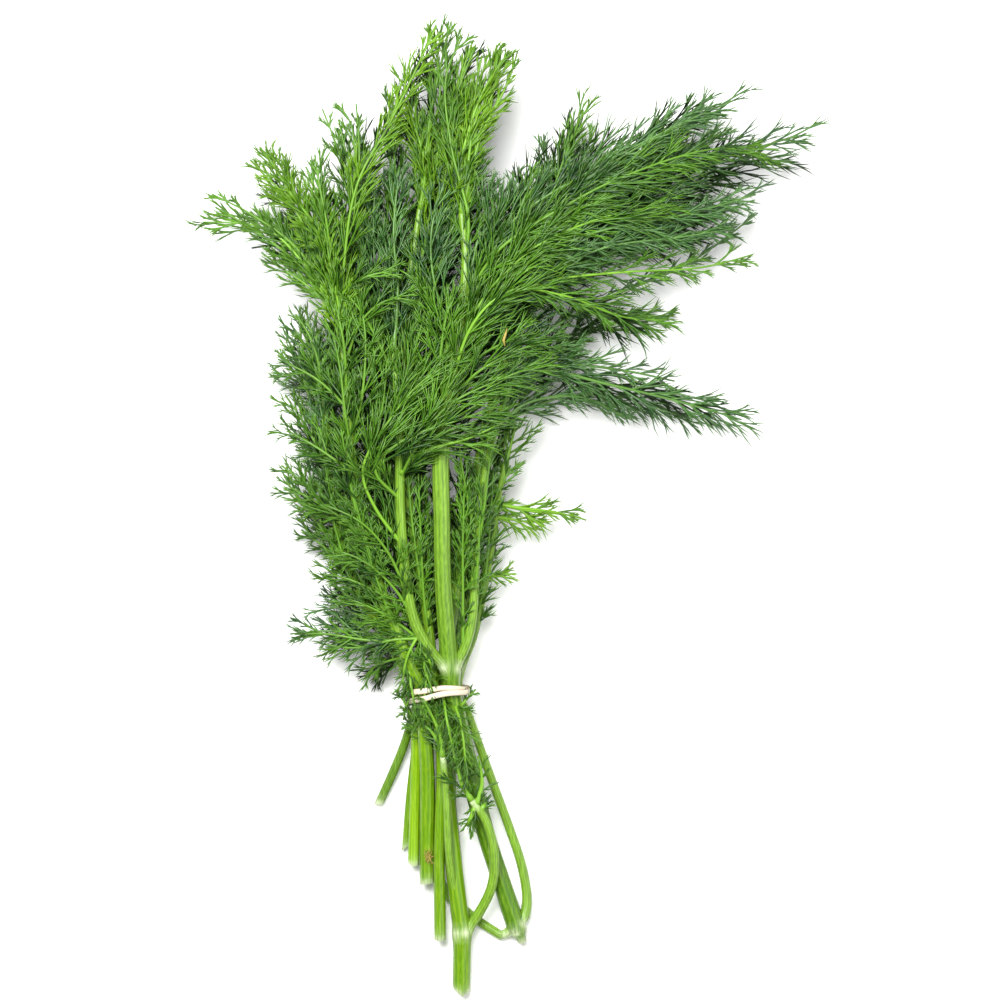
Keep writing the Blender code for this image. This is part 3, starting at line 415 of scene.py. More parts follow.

# Fronds that fill the bunch between and over the others; those in the shaded tone are dark fronds of painted
# shade, put into gaps that lie in shade
FILLERS = fronds(
    # Over and between the stems
    ("between_01", LEFT_FORK, "green fern", 13, ((430, 650), (402, 626, 23), (368, 606, 26),
     (322, 590, 24))),
    ("between_02", LEFT_FORK, "green fern", 13, ((416, 625), (396, 590, 28), (362, 560, 30),
     (318, 545, 28))),
    ("between_03", LEFT_FORK, "green fern", 13, ((408, 595), (388, 552, 30), (358, 520, 33),
     (308, 498, 31))),
    ("between_04", LEFT_FORK, "green fern", 9, ((430, 652), (410, 655, 20), (385, 662, 17),
     (366, 668, 13))),
    ("between_05", CENTRE, "green fern", 9, ((431, 650), (424, 600, 20), (421, 540, 25), (418, 462, 28))),
    ("between_06", RIGHT_FORK, "green fern", 9, ((464, 650), (463, 600, 21), (463, 540, 25),
     (465, 465, 28))),
    ("between_07", OUTER_STALK, "green fern", 9, ((476, 628), (486, 570, 15), (491, 510, 19),
     (494, 455, 22))),
    ("between_08", HIDDEN_RIGHT, "blue fern", 12, ((466, 600), (474, 550, 9), (484, 490, 11),
     (500, 430, 12))),
    ("between_09", HIDDEN_LEFT, "green fern", 14, ((408, 600), (398, 560, 17), (388, 500, 21),
     (380, 430, 23))),
    ("between_10", CENTRE, "green brush", 15, ((408, 490), (413, 430, 30), (402, 350, 31), (390, 270, 29))),
    ("between_11", SCARRED, "green brush", 14, ((350, 440), (362, 400, 35), (366, 340, 36),
     (358, 285, 35))),
    ("between_12", LEFT_FORK, "green brush", 17, ((400, 478), (415, 450, 38), (450, 405, 41),
     (520, 372, 40), (560, 360, 37))),
    ("between_13", LEFT_FORK, "green brush", 17, ((400, 500), (376, 470, 37), (405, 440, 40),
     (460, 420, 41), (520, 400, 38))),
    ("between_14", FORKED, "green brush", 14, ((446, 410), (475, 375, 37), (520, 350, 38), (570, 340, 35))),
    ("between_15", RIGHT_FORK, "blue brush", 12, ((500, 415), (520, 370, 31), (555, 352, 31),
     (600, 346, 28))),
    ("between_16", LONG, "blue brush", 13, ((520, 325), (560, 285, 27), (620, 250, 26), (680, 234, 24),
     (752, 230, 20))),
    ("between_17", FORKED, "green brush", 18, ((463, 300), (500, 250, 37), (560, 210, 38), (630, 175, 36),
     (715, 150, 32), (790, 160, 27))),
    ("between_18", FORKED, "green brush", 13, ((450, 385), (470, 335, 35), (500, 280, 37), (545, 240, 38),
     (600, 196, 36), (655, 150, 32))),
    ("between_19", SCARRED, "green fern", 12, ((338, 315), (345, 292, 35), (372, 276, 38), (416, 270, 37))),
    ("between_20", UNDER_STALK, "blue brush", 16, ((420, 560), (405, 520, 9), (385, 450, 12),
     (372, 380, 13), (350, 310, 9))),
    ("between_21", UNDER_STALK, "blue brush", 18, ((424, 460), (440, 400, 13), (470, 340, 16),
     (500, 270, 16), (545, 190, 10))),
    ("between_22", HIDDEN_LEFT, "green fern", 14, ((372, 360), (352, 310, 23), (335, 250, 25),
     (300, 205, 22))),
    ("between_23", CENTRE, "blue brush", 15, ((405, 350), (420, 300, 29), (445, 245, 31), (470, 190, 29),
     (480, 140, 25))),
    ("between_25", FORKED, "green brush", 13, ((450, 370), (440, 320, 36), (420, 285, 37), (385, 262, 36))),
    ("between_26", LEFT_FORK, "green fern", 13, ((396, 380), (375, 335, 34), (352, 300, 35),
     (318, 272, 33))),
    ("between_27", SCARRED, "green brush", 13, ((344, 365), (362, 322, 35), (392, 300, 37),
     (432, 306, 37))),
    ("between_29", LEFT_FORK, "green fern", 11, ((422, 636), (392, 640, 22), (352, 648, 19),
     (302, 640, 15))),
    ("between_30", FORKED, "green brush", 14, ((466, 262), (468, 215, 34), (452, 150, 33), (446, 80, 29),
     (470, 22, 25))),
    ("between_31", CENTRE, "lime brush", 14, ((420, 212), (425, 165, 27), (410, 110, 26), (402, 62, 22))),
    # Wisps round the tie
    ("tie_03", LOOPED_STALK, "green fern", 7, ((476, 808), (470, 820, 15), (463, 836, 13))),
    ("tie_04", SCARRED, "green curly", 6, ((425, 742), (414, 722, 15), (404, 702, 16.5), (399, 680, 15))),
    ("tie_05", LEFT, "green curly", 5, ((416, 738), (411, 726, 11), (402, 722, 9))),
    ("tie_06", LEFT_FORK, "green curly", 8, ((430, 650), (416, 662, 19), (408, 676, 16), (400, 690, 14.5))),
    ("tie_07", LOOPED_STALK, "green curly", 5, ((478, 812), (485, 805, 15), (494, 796, 14))),
    ("tie_08", SHORT_STALK, "green curly", 6, ((443, 757), (438, 742, 18), (428, 728, 19), (414, 722, 18))),
    # Among the stems above the tie
    ("between_24", HIDDEN_RIGHT, "blue brush", 11, ((512, 420), (525, 395, 10), (545, 372, 12),
     (590, 350, 12))),
    ("between_32", UNDER_STALK, "green brush", 12, ((426, 650), (432, 600, 8), (436, 540, 11),
     (438, 465, 13))),
    ("between_33", HIDDEN_RIGHT, "green brush", 12, ((456, 650), (460, 600, 8), (462, 540, 11),
     (466, 465, 14))),
    ("between_34", HIDDEN_LEFT, "green brush", 9, ((420, 650), (426, 600, 16), (428, 540, 19),
     (426, 465, 21))),
    ("between_35", OUTER_STALK, "green brush", 10, ((474, 635), (480, 590, 13), (490, 545, 15),
     (500, 485, 17))),
    ("between_36", LONG, "green brush", 11, ((454, 600), (464, 560, 19), (472, 520, 22), (478, 460, 24))),
    # The two shaded rows below are painted shade: dark fronds that fill gaps in the bunch's shaded depths
    ("between_37", UNDER_STALK, "shaded brush", 13, ((420, 600), (412, 560, 8), (408, 500, 11),
     (412, 430, 13))),
    ("between_38", HIDDEN_RIGHT, "shaded brush", 11, ((478, 540), (484, 500, 8), (492, 460, 10),
     (506, 415, 12))),
    ("between_39", OUTER_STALK, "lime brush", 9, ((495, 515), (516, 520, 14), (545, 525, 13))),
    ("between_40", OUTER_STALK, "green fern", 8, ((499, 490), (508, 472, 17), (514, 455, 16))),
    # The outer ends
    ("between_41", FORKED, "blue brush", 15, ((463, 300), (520, 262, 36), (600, 232, 35), (690, 214, 32),
     (772, 190, 27))),
    ("between_42", FORKED, "lime brush", 10, ((462, 217), (470, 150, 30), (494, 90, 29), (503, 38, 26))),
    ("between_43", CENTRE, "green brush", 9, ((420, 215), (448, 120, 26), (466, 70, 25), (480, 34, 22))),
    ("between_44", FORKED, "blue brush", 11, ((463, 310), (478, 240, 33), (490, 195, 30), (498, 160, 27))),
    ("between_45", LONG, "blue brush", 10, ((518, 330), (518, 250, 20), (515, 200, 18), (511, 160, 15))),
    ("between_46", LONG, "blue brush", 9, ((530, 305), (540, 220, 20), (545, 170, 18), (539, 124, 15))),
    ("between_47", LONG, "green brush", 9, ((538, 290), (565, 200, 18), (586, 150, 16), (603, 112, 13))),
    ("between_48", HIDDEN_LEFT, "green sparse", 10, ((368, 305), (352, 200, 22), (338, 150, 22),
     (318, 98, 20))),
    ("between_49", HIDDEN_LEFT, "green sparse", 8, ((368, 302), (360, 190, 22), (359, 140, 22),
     (355, 92, 20))),
    ("between_50", SCARRED, "lime fern", 10, ((331, 275), (305, 215, 32), (285, 175, 31), (268, 138, 29))),
    ("between_51", SCARRED, "lime fern", 8, ((331, 278), (292, 205, 31), (264, 175, 30), (243, 152, 28))),
    ("between_52", SCARRED, "green brush", 9, ((337, 310), (300, 252, 32), (255, 217, 31), (203, 190, 27))),
    ("between_53", SCARRED, "green brush", 9, ((337, 315), (310, 288, 32), (280, 267, 31), (253, 246, 28))),
    ("between_54", LEFT, "green fern", 12, ((325, 402), (322, 355, 20), (308, 325, 19), (292, 303, 17))),
    # Over the tie
    ("tie_09", SCARRED, "green fern", 7, ((408, 660), (410, 680, 19), (415, 705, 19), (422, 728, 18))),
    ("tie_10", LEFT_FORK, "green fern", 8, ((420, 632), (408, 655, 22), (403, 680, 19), (406, 702, 16))),
    ("tie_11", CENTRE, "green fern", 7, ((431, 650), (427, 672, 18), (425, 700, 18.5), (434, 726, 17))),
    ("tie_12", LEFT_FORK, "green fern", 6, ((430, 650), (424, 664, 21), (430, 684, 19.5), (438, 704, 18))),
    ("tie_13", FORKED, "green curly", 4, ((457, 712), (466, 700, 15), (480, 685, 14))),
    # Over the bare stems of the left mass
    ("between_55", SCARRED, "green fern", 10, ((400, 645), (388, 610, 25.5), (374, 570, 29.5),
     (360, 525, 32))),
    ("between_56", SCARRED, "green fern", 11, ((384, 600), (372, 560, 29.5), (358, 510, 32),
     (348, 465, 34))),
    ("between_57", SCARRED, "green fern", 11, ((366, 548), (354, 500, 32.5), (345, 450, 34.5),
     (338, 405, 35.5))),
    ("between_58", SCARRED, "green brush", 12, ((352, 460), (346, 415, 35), (340, 365, 36),
     (330, 320, 36))),
    ("between_59", SCARRED, "green brush", 12, ((348, 400), (345, 350, 36), (336, 305, 36.5),
     (322, 262, 36))),
    ("between_60", SCARRED, "lime brush", 12, ((343, 340), (338, 300, 36), (330, 262, 36), (326, 225, 35))),
    ("between_61", LEFT, "green fern", 11, ((372, 615), (350, 575, 21), (336, 530, 23), (326, 480, 24))),
    ("between_62", LEFT, "green fern", 11, ((350, 570), (335, 520, 22), (326, 470, 24), (318, 420, 24))),
    ("between_63", LEFT, "blue fern", 12, ((336, 520), (327, 465, 24), (322, 415, 25), (312, 370, 24))),
    # The shaded rows here are painted shade: dark fronds under the others
    ("between_64", STRAY, "shaded fern", 12, ((382, 620), (362, 570, 12), (352, 510, 13), (345, 450, 13))),
    ("between_65", CENTRE, "green fern", 7, ((426, 612), (417, 560, 24), (411, 510, 26.5), (407, 460, 28))),
    ("between_66", HIDDEN_LEFT, "shaded brush", 13, ((398, 540), (388, 490, 21), (378, 430, 22),
     (372, 370, 22))),
    ("between_67", HIDDEN_LEFT, "shaded brush", 13, ((372, 360), (362, 300, 22), (350, 240, 22),
     (340, 190, 21))),
    # Over the stems of the right side
    ("between_68", RIGHT_FORK, "green fern", 8, ((474, 600), (478, 560, 23), (480, 520, 25),
     (484, 470, 27))),
    ("between_69", RIGHT_FORK, "green fern", 9, ((476, 560), (484, 510, 26), (490, 460, 28),
     (500, 415, 30))),
    ("between_70", RIGHT_FORK, "green brush", 9, ((477, 540), (468, 500, 26), (461, 460, 29),
     (458, 425, 31))),
    ("between_71", LONG, "green fern", 9, ((464, 550), (474, 505, 22), (484, 450, 24), (500, 400, 25))),
    # In the gaps of the middle, most of them dark fronds in the shaded tone as painted shade
    ("between_72", FORKED, "shaded brush", 15, ((455, 360), (480, 330, 30), (505, 310, 30),
     (545, 300, 30))),
    ("between_73", RIGHT_FORK, "blue brush", 15, ((505, 400), (515, 360, 27), (530, 330, 27),
     (562, 316, 26))),
    ("between_74", LONG, "shaded brush", 15, ((500, 380), (505, 340, 22), (520, 305, 22), (548, 285, 22))),
    ("between_75", FORKED, "green brush", 16, ((448, 400), (470, 365, 34), (505, 343, 37), (550, 330, 36))),
    ("between_76", UNDER_STALK, "shaded brush", 16, ((430, 440), (425, 390, 10), (425, 330, 12),
     (435, 265, 12))),
    ("between_77", UNDER_STALK, "shaded brush", 16, ((424, 460), (405, 410, 10), (395, 350, 11),
     (388, 290, 11))),
    ("between_78", UNDER_STALK, "shaded brush", 16, ((445, 380), (470, 330, 9), (500, 280, 9),
     (530, 230, 7))),
    ("between_79", HIDDEN_RIGHT, "shaded brush", 12, ((520, 400), (550, 350, 10), (590, 325, 9),
     (625, 318, 7))),
    ("between_80", HIDDEN_RIGHT, "shaded brush", 12, ((466, 600), (462, 560, 7), (460, 500, 8),
     (462, 440, 9))),
    ("between_81", UNDER_STALK, "shaded brush", 12, ((426, 650), (436, 600, 6), (440, 540, 7),
     (446, 470, 8))),
    ("between_82", LEFT_FORK, "green brush", 14, ((400, 440), (408, 390, 35), (418, 340, 37),
     (430, 300, 37))),
    ("between_83", FORKED, "green brush", 14, ((446, 410), (440, 370, 36), (446, 320, 38), (460, 275, 38))),
    # The right mass and its edges
    ("between_84", RIGHT_FORK, "blue brush", 11, ((512, 387), (560, 366, 28), (620, 370, 25),
     (692, 385, 21))),
    ("between_85", FORKED, "blue brush", 12, ((463, 310), (487, 245, 33), (507, 205, 31), (522, 172, 28))),
    # The shaded rows here are painted shade: dark fronds under the others
    ("between_86", LONG, "shaded brush", 11, ((525, 320), (528, 240, 19), (524, 195, 17), (520, 158, 14))),
    ("between_87", FORKED, "blue brush", 13, ((463, 300), (540, 215, 35), (610, 165, 35), (690, 122, 31),
     (738, 110, 28))),
    ("between_88", LONG, "green brush", 10, ((535, 295), (555, 210, 20), (572, 160, 18), (570, 112, 15))),
    ("between_89", FORKED, "blue brush", 13, ((455, 350), (520, 290, 36), (600, 250, 35), (680, 238, 33),
     (750, 226, 28))),
    ("between_90", LONG, "shaded brush", 15, ((540, 287), (610, 215, 18), (690, 190, 16), (750, 165, 14))),
    # The top and the left edge
    ("between_91", FORKED, "lime brush", 8, ((462, 217), (480, 140, 30), (507, 85, 28), (521, 40, 26))),
    ("between_92", CENTRE, "lime brush", 9, ((420, 212), (452, 110, 26), (468, 55, 24), (478, 30, 22))),
    ("between_93", CENTRE, "green brush", 9, ((420, 212), (430, 120, 26), (442, 60, 24), (454, 10, 21))),
    ("between_94", CENTRE, "green brush", 12, ((405, 350), (430, 290, 29), (448, 240, 30), (456, 185, 29))),
    # The shaded row below is painted shade: a dark frond under the top ones
    ("between_95", CENTRE, "shaded brush", 13, ((420, 212), (434, 160, 20), (450, 110, 20), (470, 70, 18))),
    ("between_96", SCARRED, "lime fern", 10, ((331, 275), (296, 200, 31), (270, 162, 30), (255, 138, 28))),
    ("between_97", SCARRED, "green brush", 10, ((337, 310), (296, 262, 32), (250, 228, 31),
     (206, 202, 28))),
    ("between_98", HIDDEN_LEFT, "green sparse", 10, ((368, 305), (356, 210, 23), (345, 150, 22),
     (336, 108, 20))),
    ("between_99", SCARRED, "green brush", 10, ((334, 290), (325, 230, 34), (312, 180, 33),
     (300, 158, 31))),
    ("between_100", LEFT, "green fern", 11, ((325, 402), (315, 350, 21), (300, 320, 20), (283, 302, 18))),
    ("between_101", SCARRED, "green fern", 9, ((402, 645), (365, 640, 20), (325, 634, 18), (283, 635, 14))),
    ("between_102", OUTER_STALK, "lime brush", 6, ((498, 503), (530, 511, 15), (568, 515, 13),
     (598, 524, 11))),
    ("between_103", CENTRE, "lime brush", 8, ((420, 212), (462, 110, 27), (488, 65, 26), (512, 34, 24))),
    ("between_104", FORKED, "lime brush", 8, ((462, 217), (470, 150, 31), (476, 90, 29), (484, 45, 26))),
    ("between_105", LEFT, "green fern", 9, ((335, 480), (310, 400, 18), (292, 350, 17), (278, 318, 14))),
    ("between_106", SCARRED, "green brush", 9, ((331, 290), (290, 240, 30), (262, 220, 28),
     (236, 226, 24))),
    ("between_107", FORKED, "blue brush", 12, ((463, 300), (570, 210, 34), (670, 165, 32), (735, 122, 28))),
    ("between_108", LONG, "blue brush", 12, ((540, 290), (620, 235, 20), (690, 215, 18), (748, 205, 15))),
    ("between_109", LEFT, "green fern", 9, ((352, 570), (315, 520, 18), (292, 490, 16), (276, 460, 13))),
    ("between_110", FORKED, "green brush", 12, ((455, 350), (500, 270, 34), (520, 210, 34),
     (545, 150, 30))),
    # More wisps round the tie
    ("tie_15", CENTRE, "green curly", 8, ((432, 688), (424, 705, 20), (418, 722, 17), (414, 738, 14))),
    ("tie_16", LONG, "green curly", 7, ((440, 690), (446, 715, 24), (452, 745, 22), (458, 775, 20))),
    ("tie_17", FORKED, "green curly", 8, ((456, 700), (462, 730, 21), (466, 770, 19), (468, 800, 17))),
    ("tie_18", LEFT, "green curly", 7, ((415, 680), (408, 700, 17), (404, 716, 14), (402, 730, 11))),
    ("tie_19", CENTRE, "green curly", 8, ((436, 680), (430, 662, 22), (420, 650, 22), (408, 640, 21))),
    ("tie_14", LOOPED_STALK, "green fern", 8, ((474, 804), (482, 785, 16), (480, 765, 17),
     (474, 745, 17.5))),
)


def lower_twin(frond, number):
    """A frond that lies under another one, a little to one side and shorter, coloured in the shaded tone as
    painted shade.
    """
    draw = np.random.default_rng([SEED, number])
    aside = draw.uniform(-TWIN_SHIFT, TWIN_SHIFT, 2)
    steps = len(frond.path) - 1
    pull = LEFT_TWIN_PULL if frond.name.startswith("frond_left") else TWIN_PULL
    path = [frond.path[0]]
    for k, (x, y, height) in enumerate(frond.path[1:], 1):
        back = pull * k / steps
        x += back * (frond.path[0][0] - x) + aside[0] * k / steps
        y += back * (frond.path[0][1] - y) + aside[1] * k / steps
        path.append((x, y, max(1.0, TWIN_DEPTH * height)))
    name = frond.name.replace("frond", "frond_lower")
    return Frond(name, frond.parent, tuple(path), frond.reach, frond.habit, "shaded")


def painted_shade_twins():
    """Twins of the big fronds, and of the fillers that reach far, all in the shaded tone, which is painted
    shade.
    """
    made = []
    for number, frond in enumerate(FRONDS + FILLERS):
        far_filler = frond in FILLERS and frond.reach >= WIDE_FILLER and frond.tone != "shaded"
        if frond.name.startswith(TWINNED) or far_filler:
            made.append(lower_twin(frond, number))
    return tuple(made)


def place(x, y, height):
    """World position of a plan point whose height is in millimetres."""
    return ((x - PLAN_ORIGIN[0]) * PLAN_SCALE, (PLAN_ORIGIN[1] - y) * PLAN_SCALE, height * MM)

def unit(vectors):
    """The vectors at length one, along their last axis."""
    return vectors / np.maximum(np.linalg.norm(vectors, axis=-1, keepdims=True), 1e-12)

def arc_lengths(line):
    """Distance along the line at each of its points."""
    return np.concatenate([[0], np.cumsum(np.linalg.norm(np.diff(line[:, :3], axis=0), axis=1))])

def smooth_line(points, step):
    """A curve through the points, resampled at even steps. Columns past z, such as radius, follow along."""
    knots = np.array(points, float)
    knots = np.vstack([2 * knots[0] - knots[1], knots, 2 * knots[-1] - knots[-2]])
    t = np.linspace(0, 1, 20, endpoint=False)[:, None]
    pieces = []
    for a, b, c, d in zip(knots, knots[1:], knots[2:], knots[3:]):
        pieces.append(0.5 * (2 * b + (c - a) * t + (2 * a - 5 * b + 4 * c - d) * t ** 2
                             + (3 * b - a - 3 * c + d) * t ** 3))
    fine = np.vstack(pieces + [knots[-2][None]])
    run = arc_lengths(fine)
    count = max(2, round(run[-1] / step))
    stations = np.linspace(0, run[-1], count + 1)
    return np.stack([np.interp(stations, run, column) for column in fine.T], axis=1)


def stem_line(points, step):
    """Centre line of a stem with its radius. The stems rise where the band passes under them."""
    rows = []
    for x, y, height, radius in points:
        lift = TIE_LIFT * math.exp(-((y - TIE_Y) / TIE_SPREAD) ** 2)
        px, py, pz = place(x, y, height)
        rows.append((px, py, pz + lift, radius * MM))
    return smooth_line(rows, step)

def node_points(name):
    """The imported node's own points."""
    mesh = frame["nodes"][name].data
    points = np.zeros(len(mesh.vertices) * 3, np.float32)
    mesh.vertices.foreach_get("co", points)
    return points.reshape(-1, 3).astype(float)

def rachis_line(frond, stems):
    """Centre line of a frond from inside its stem to its tip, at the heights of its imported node."""
    parent = stems[frond.parent]
    root = np.array(place(*frond.path[0], 0))
    nearest = parent[np.argmin(np.hypot(*(parent[:, :2] - root[:2]).T))]
    line = smooth_line([nearest[:3]] + [place(*point) for point in frond.path[1:]], RACHIS_STEP)
    run = arc_lengths(line)
    last = int(np.argmax(run > run[-1] - BARE_TIP * TIP_SHARE * frond.reach * MM))
    line = line[:last]
    if frond.name not in frame["nodes"]:
        return line
    line[:, 2] = node_heights(line, run[:last], node_points(frond.name))
    kernel = np.array([1, 3, 5, 6, 5, 3, 1]) / 24
    for _ in range(3):
        line[:, 2] = np.convolve(np.pad(line[:, 2], 3, mode="edge"), kernel, "valid")
    return line


def node_heights(line, run, cloud):
    """Heights along the line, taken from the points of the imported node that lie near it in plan."""
    near = np.hypot(line[:, None, 0] - cloud[None, :, 0], line[:, None, 1] - cloud[None, :, 1])
    weight = np.exp(-(near / NODE_NEARNESS) ** 2)
    total = weight.sum(1)
    known = total > 0.8
    heights = (weight * cloud[None, :, 2]).sum(1) / np.maximum(total, 1e-9)
    known[0] = True
    heights[0] = line[0, 2]
    return np.interp(run, run[known], heights[known])


def placed(name, data):
    """A new object of the data, linked into the scene."""
    made = bpy.data.objects.new(name, data)
    bpy.context.scene.collection.objects.link(made)
    return made


def mark_points(mesh, label, values):
    """Writes a number for each point of the mesh, for its material to read."""
    layer = mesh.attributes.new(label, "FLOAT", "POINT")
    layer.data.foreach_set("value", np.asarray(values).astype(np.float32))


def dress(piece, node):
    """Ties a piece to the root body and hides the imported node that it stands for, if there is one."""
    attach(piece, "root")
    if node in frame["nodes"]:
        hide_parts(node)


class Tubes:
    """Tapering tubes gathered into one mesh, with a tint and a root-to-tip share at each point."""

    def __init__(self):
        self.points = []
        self.tints = []
        self.shares = []
        self.loops = []
        self.sizes = []
        self.count = 0

    def add(self, lines, radii, sides, tints, shares, flat=1.0):
        """Lines are curves by points by xyz, radii and shares are curves by points, tints one a curve."""
        curves, rings = lines.shape[:2]
        tangents = unit(np.gradient(lines, axis=1))
        upright = np.array([0.0, 0.0, 1.0])
        side = unit(np.cross(tangents, upright) + 1e-6)
        over = np.cross(side, tangents)
        turn = np.linspace(0, 2 * math.pi, sides, endpoint=False)
        across = np.cos(turn)[None, None, :, None] * side[:, :, None]
        high = np.sin(turn)[None, None, :, None] * over[:, :, None] * flat
        skin = lines[:, :, None] + radii[:, :, None, None] * (across + high)
        start = self.count + np.arange(curves)[:, None, None] * rings * sides
        ring = np.arange(rings - 1)[None, :, None] * sides
        corner = np.arange(sides)[None, None, :]
        after = (corner + 1) % sides
        quads = np.stack([start + ring + corner, start + ring + after,
                          start + ring + sides + after, start + ring + sides + corner], axis=-1)
        caps = start[:, 0] + np.arange(sides)[None, ::-1]
        tips = start[:, 0] + (rings - 1) * sides + np.arange(sides)[None]
        self.points.append(skin.reshape(-1, 3))
        self.tints.append(np.repeat(tints, rings * sides))
        self.shares.append(np.repeat(shares.ravel(), sides))
        self.loops += [quads.reshape(-1), caps.reshape(-1), tips.reshape(-1)]
        self.sizes += [np.full(curves * (rings - 1) * sides, 4), np.full(2 * curves, sides)]
        self.count += curves * rings * sides
    def build(self, name, finish):
        """The object of all the tubes so far."""
        points = np.vstack(self.points)
        loops = np.concatenate(self.loops)
        sizes = np.concatenate(self.sizes)
        mesh = bpy.data.meshes.new(name)
        mesh.vertices.add(len(points))
        mesh.vertices.foreach_set("co", points.astype(np.float32).ravel())
        mesh.loops.add(len(loops))
        mesh.loops.foreach_set("vertex_index", loops.astype(np.int32))
        mesh.polygons.add(len(sizes))
        mesh.polygons.foreach_set("loop_start", (np.cumsum(sizes) - sizes).astype(np.int32))
        mesh.polygons.foreach_set("loop_total", sizes.astype(np.int32))
        mesh.update(calc_edges=True)
        mesh.shade_smooth()
        mark_points(mesh, "tint", np.concatenate(self.tints))
        mark_points(mesh, "share", np.concatenate(self.shares))
        mesh.materials.append(finish)
        return placed(name, mesh)


def along(lines, which, at):
    """Points and tangents at shares of the chosen curves."""
    rings = lines.shape[1]
    spot = np.clip(at, 0, 0.9999) * (rings - 1)
    low = spot.astype(int)
    part = (spot - low)[:, None]
    here, ahead = lines[which, low], lines[which, low + 1]
    return here * (1 - part) + ahead * part, unit(ahead - here)

def sprout(lines, normals, which, at, hand, sweep, lift, length, curl, rings, draw):
    """Curves that grow from points along other curves, swept out to one hand and curling forward again."""
    roots, tangents = along(lines, which, at)
    flat = unit(normals[which] - (normals[which] * tangents).sum(1, keepdims=True) * tangents)
    side = np.cross(tangents, flat)
    out = np.cos(lift)[:, None] * hand[:, None] * side + np.sin(lift)[:, None] * flat
    way = np.cos(sweep)[:, None] * tangents + np.sin(sweep)[:, None] * out
    later = unit(way + curl[:, None] * tangents)
    jitter = draw.normal(0, WANDER, (len(roots), 3))
    steps = np.linspace(0, 1, rings - 1)[None, :, None]
    ways = unit(way[:, None] * (1 - steps) + (later + jitter)[:, None] * steps)
    moves = ways * (length / (rings - 1))[:, None, None]
    path = np.concatenate([roots[:, None], roots[:, None] + np.cumsum(moves, axis=1)], axis=1)
    path[:, :, 2] = np.clip(path[:, :, 2], FLOOR_CLEARANCE, HIGHEST_THREAD)
    return path, unit(flat + draw.normal(0, PLANE_WANDER, flat.shape))


def reach_profile(share):
    """Length of the side branches along a frond, as a share of its reach."""
    return 0.58 + 0.42 * np.sin(math.pi * np.minimum(1, 0.18 + 0.82 * share) ** 0.9)


def spots_along(span, order, per, draw):
    """Uneven places along a branch, one for each of the shoots that share its span."""
    first, stretch = span
    return first + stretch * (order + draw.uniform(*PLACE_RANGE, len(order))) / per


def add_shoots(tubes, lines, radii, sides, tints, grown):
    """Tubes round the shoots, whose share runs from root to tip between two values."""
    rings = lines.shape[1]
    tubes.add(lines, radii, sides, tints, np.linspace(*grown, rings)[None] * np.ones((len(lines), 1)))


def add_rachis(tubes, frond, line, end_radius):
    """The stalk of the frond, which starts as thick as the branch that it ends."""
    run = arc_lengths(line)
    share = run / run[-1]
    radii = RACHIS_ROOT + (RACHIS_TIP - RACHIS_ROOT) * share ** 0.6
    radii += np.maximum(0, end_radius - RACHIS_ROOT) * np.exp(-run / STALK_RUNOUT)
    start = 0.0 if frond.name.startswith(BRIGHT_STALKS) else GREENER_START
    grown = start + share * (STALK_GREEN_END - start)
    tubes.add(line[None], radii[None], RACHIS_SIDES, np.array([0.5]), grown[None])


def add_pinnae(tubes, frond, habit, line, draw):
    """Side branches in pairs along the rachis, a few of them missing."""
    count = max(FEWEST_PAIRS, int(arc_lengths(line)[-1] * (1 - habit.bare) / habit.spacing))
    base = habit.bare + (1 - habit.bare) * (np.arange(count) + draw.uniform(-0.2, 0.2, count)) / count
    at = np.clip(np.repeat(base, 2) + draw.normal(0, 0.008, 2 * count), 0.01, 0.995)
    hand = np.tile([-1.0, 1.0], count)
    kept = draw.uniform(0, 1, len(at)) > MISSING_SHARE
    at, hand = at[kept], hand[kept]
    lengths = frond.reach * MM * reach_profile(at) * draw.uniform(0.70, 1.15, len(at))
    sweep = np.radians(habit.sweep * draw.uniform(*SWEEP_RANGE, len(at)) * (1 - 0.40 * at ** 3))
    lift = np.radians(draw.normal(0, habit.lift, len(at)))
    curl = habit.curl * draw.uniform(*CURL_RANGE, len(at))
    which = np.zeros(len(at), int)
    level = np.array([[0.0, 0.0, 1.0]])
    lines, planes = sprout(line[None], level, which, at, hand, sweep, lift, lengths, curl,
                           len(PINNA_TAPER), draw)
    tints = draw.uniform(0, 1, len(at))
    radii = np.array(PINNA_TAPER)[None] * PINNA_RADIUS * np.ones((len(at), 1))
    add_shoots(tubes, lines, radii, 4, tints, (0.3, 0.75))
    return Shoots(lines, planes, lengths, tints, None)


def add_pinnules(tubes, habit, pinnae, draw):
    """Pinnules that leave the side branches to one hand and the other in turn."""
    per = np.maximum(FEWEST_PINNULES, (pinnae.lengths / habit.pinnule_gap).astype(int))
    which = np.repeat(np.arange(len(per)), per)
    order = np.concatenate([np.arange(n) for n in per])
    at = spots_along(PINNULE_SPAN, order, per[which], draw)
    hand = np.where(order % 2 == 0, 1.0, -1.0)
    lengths = (pinnae.lengths[which] * habit.pinnule_share * (1 - 0.42 * at)
               * draw.uniform(0.75, 1.15, len(which)))
    sweep = np.radians(habit.pinnule_sweep * draw.uniform(0.7, 1.25, len(which)) * (1.15 - 0.65 * at))
    lift = np.radians(draw.normal(0, THREAD_LIFT, len(which)))
    curl = habit.curl * draw.uniform(*CURL_RANGE, len(which))
    lines, planes = sprout(pinnae.lines, pinnae.planes, which, at, hand, sweep, lift, lengths, curl,
                           len(PINNULE_TAPER), draw)
    radii = np.array(PINNULE_TAPER)[None] * habit.thread * draw.uniform(0.9, 1.1, (len(which), 1))
    tints = np.clip(pinnae.tints[which] + draw.normal(0, 0.18, len(which)), 0, 1)
    add_shoots(tubes, lines, radii, 3, tints, (0.45, 1))
    return Shoots(lines, planes, lengths, tints, order)


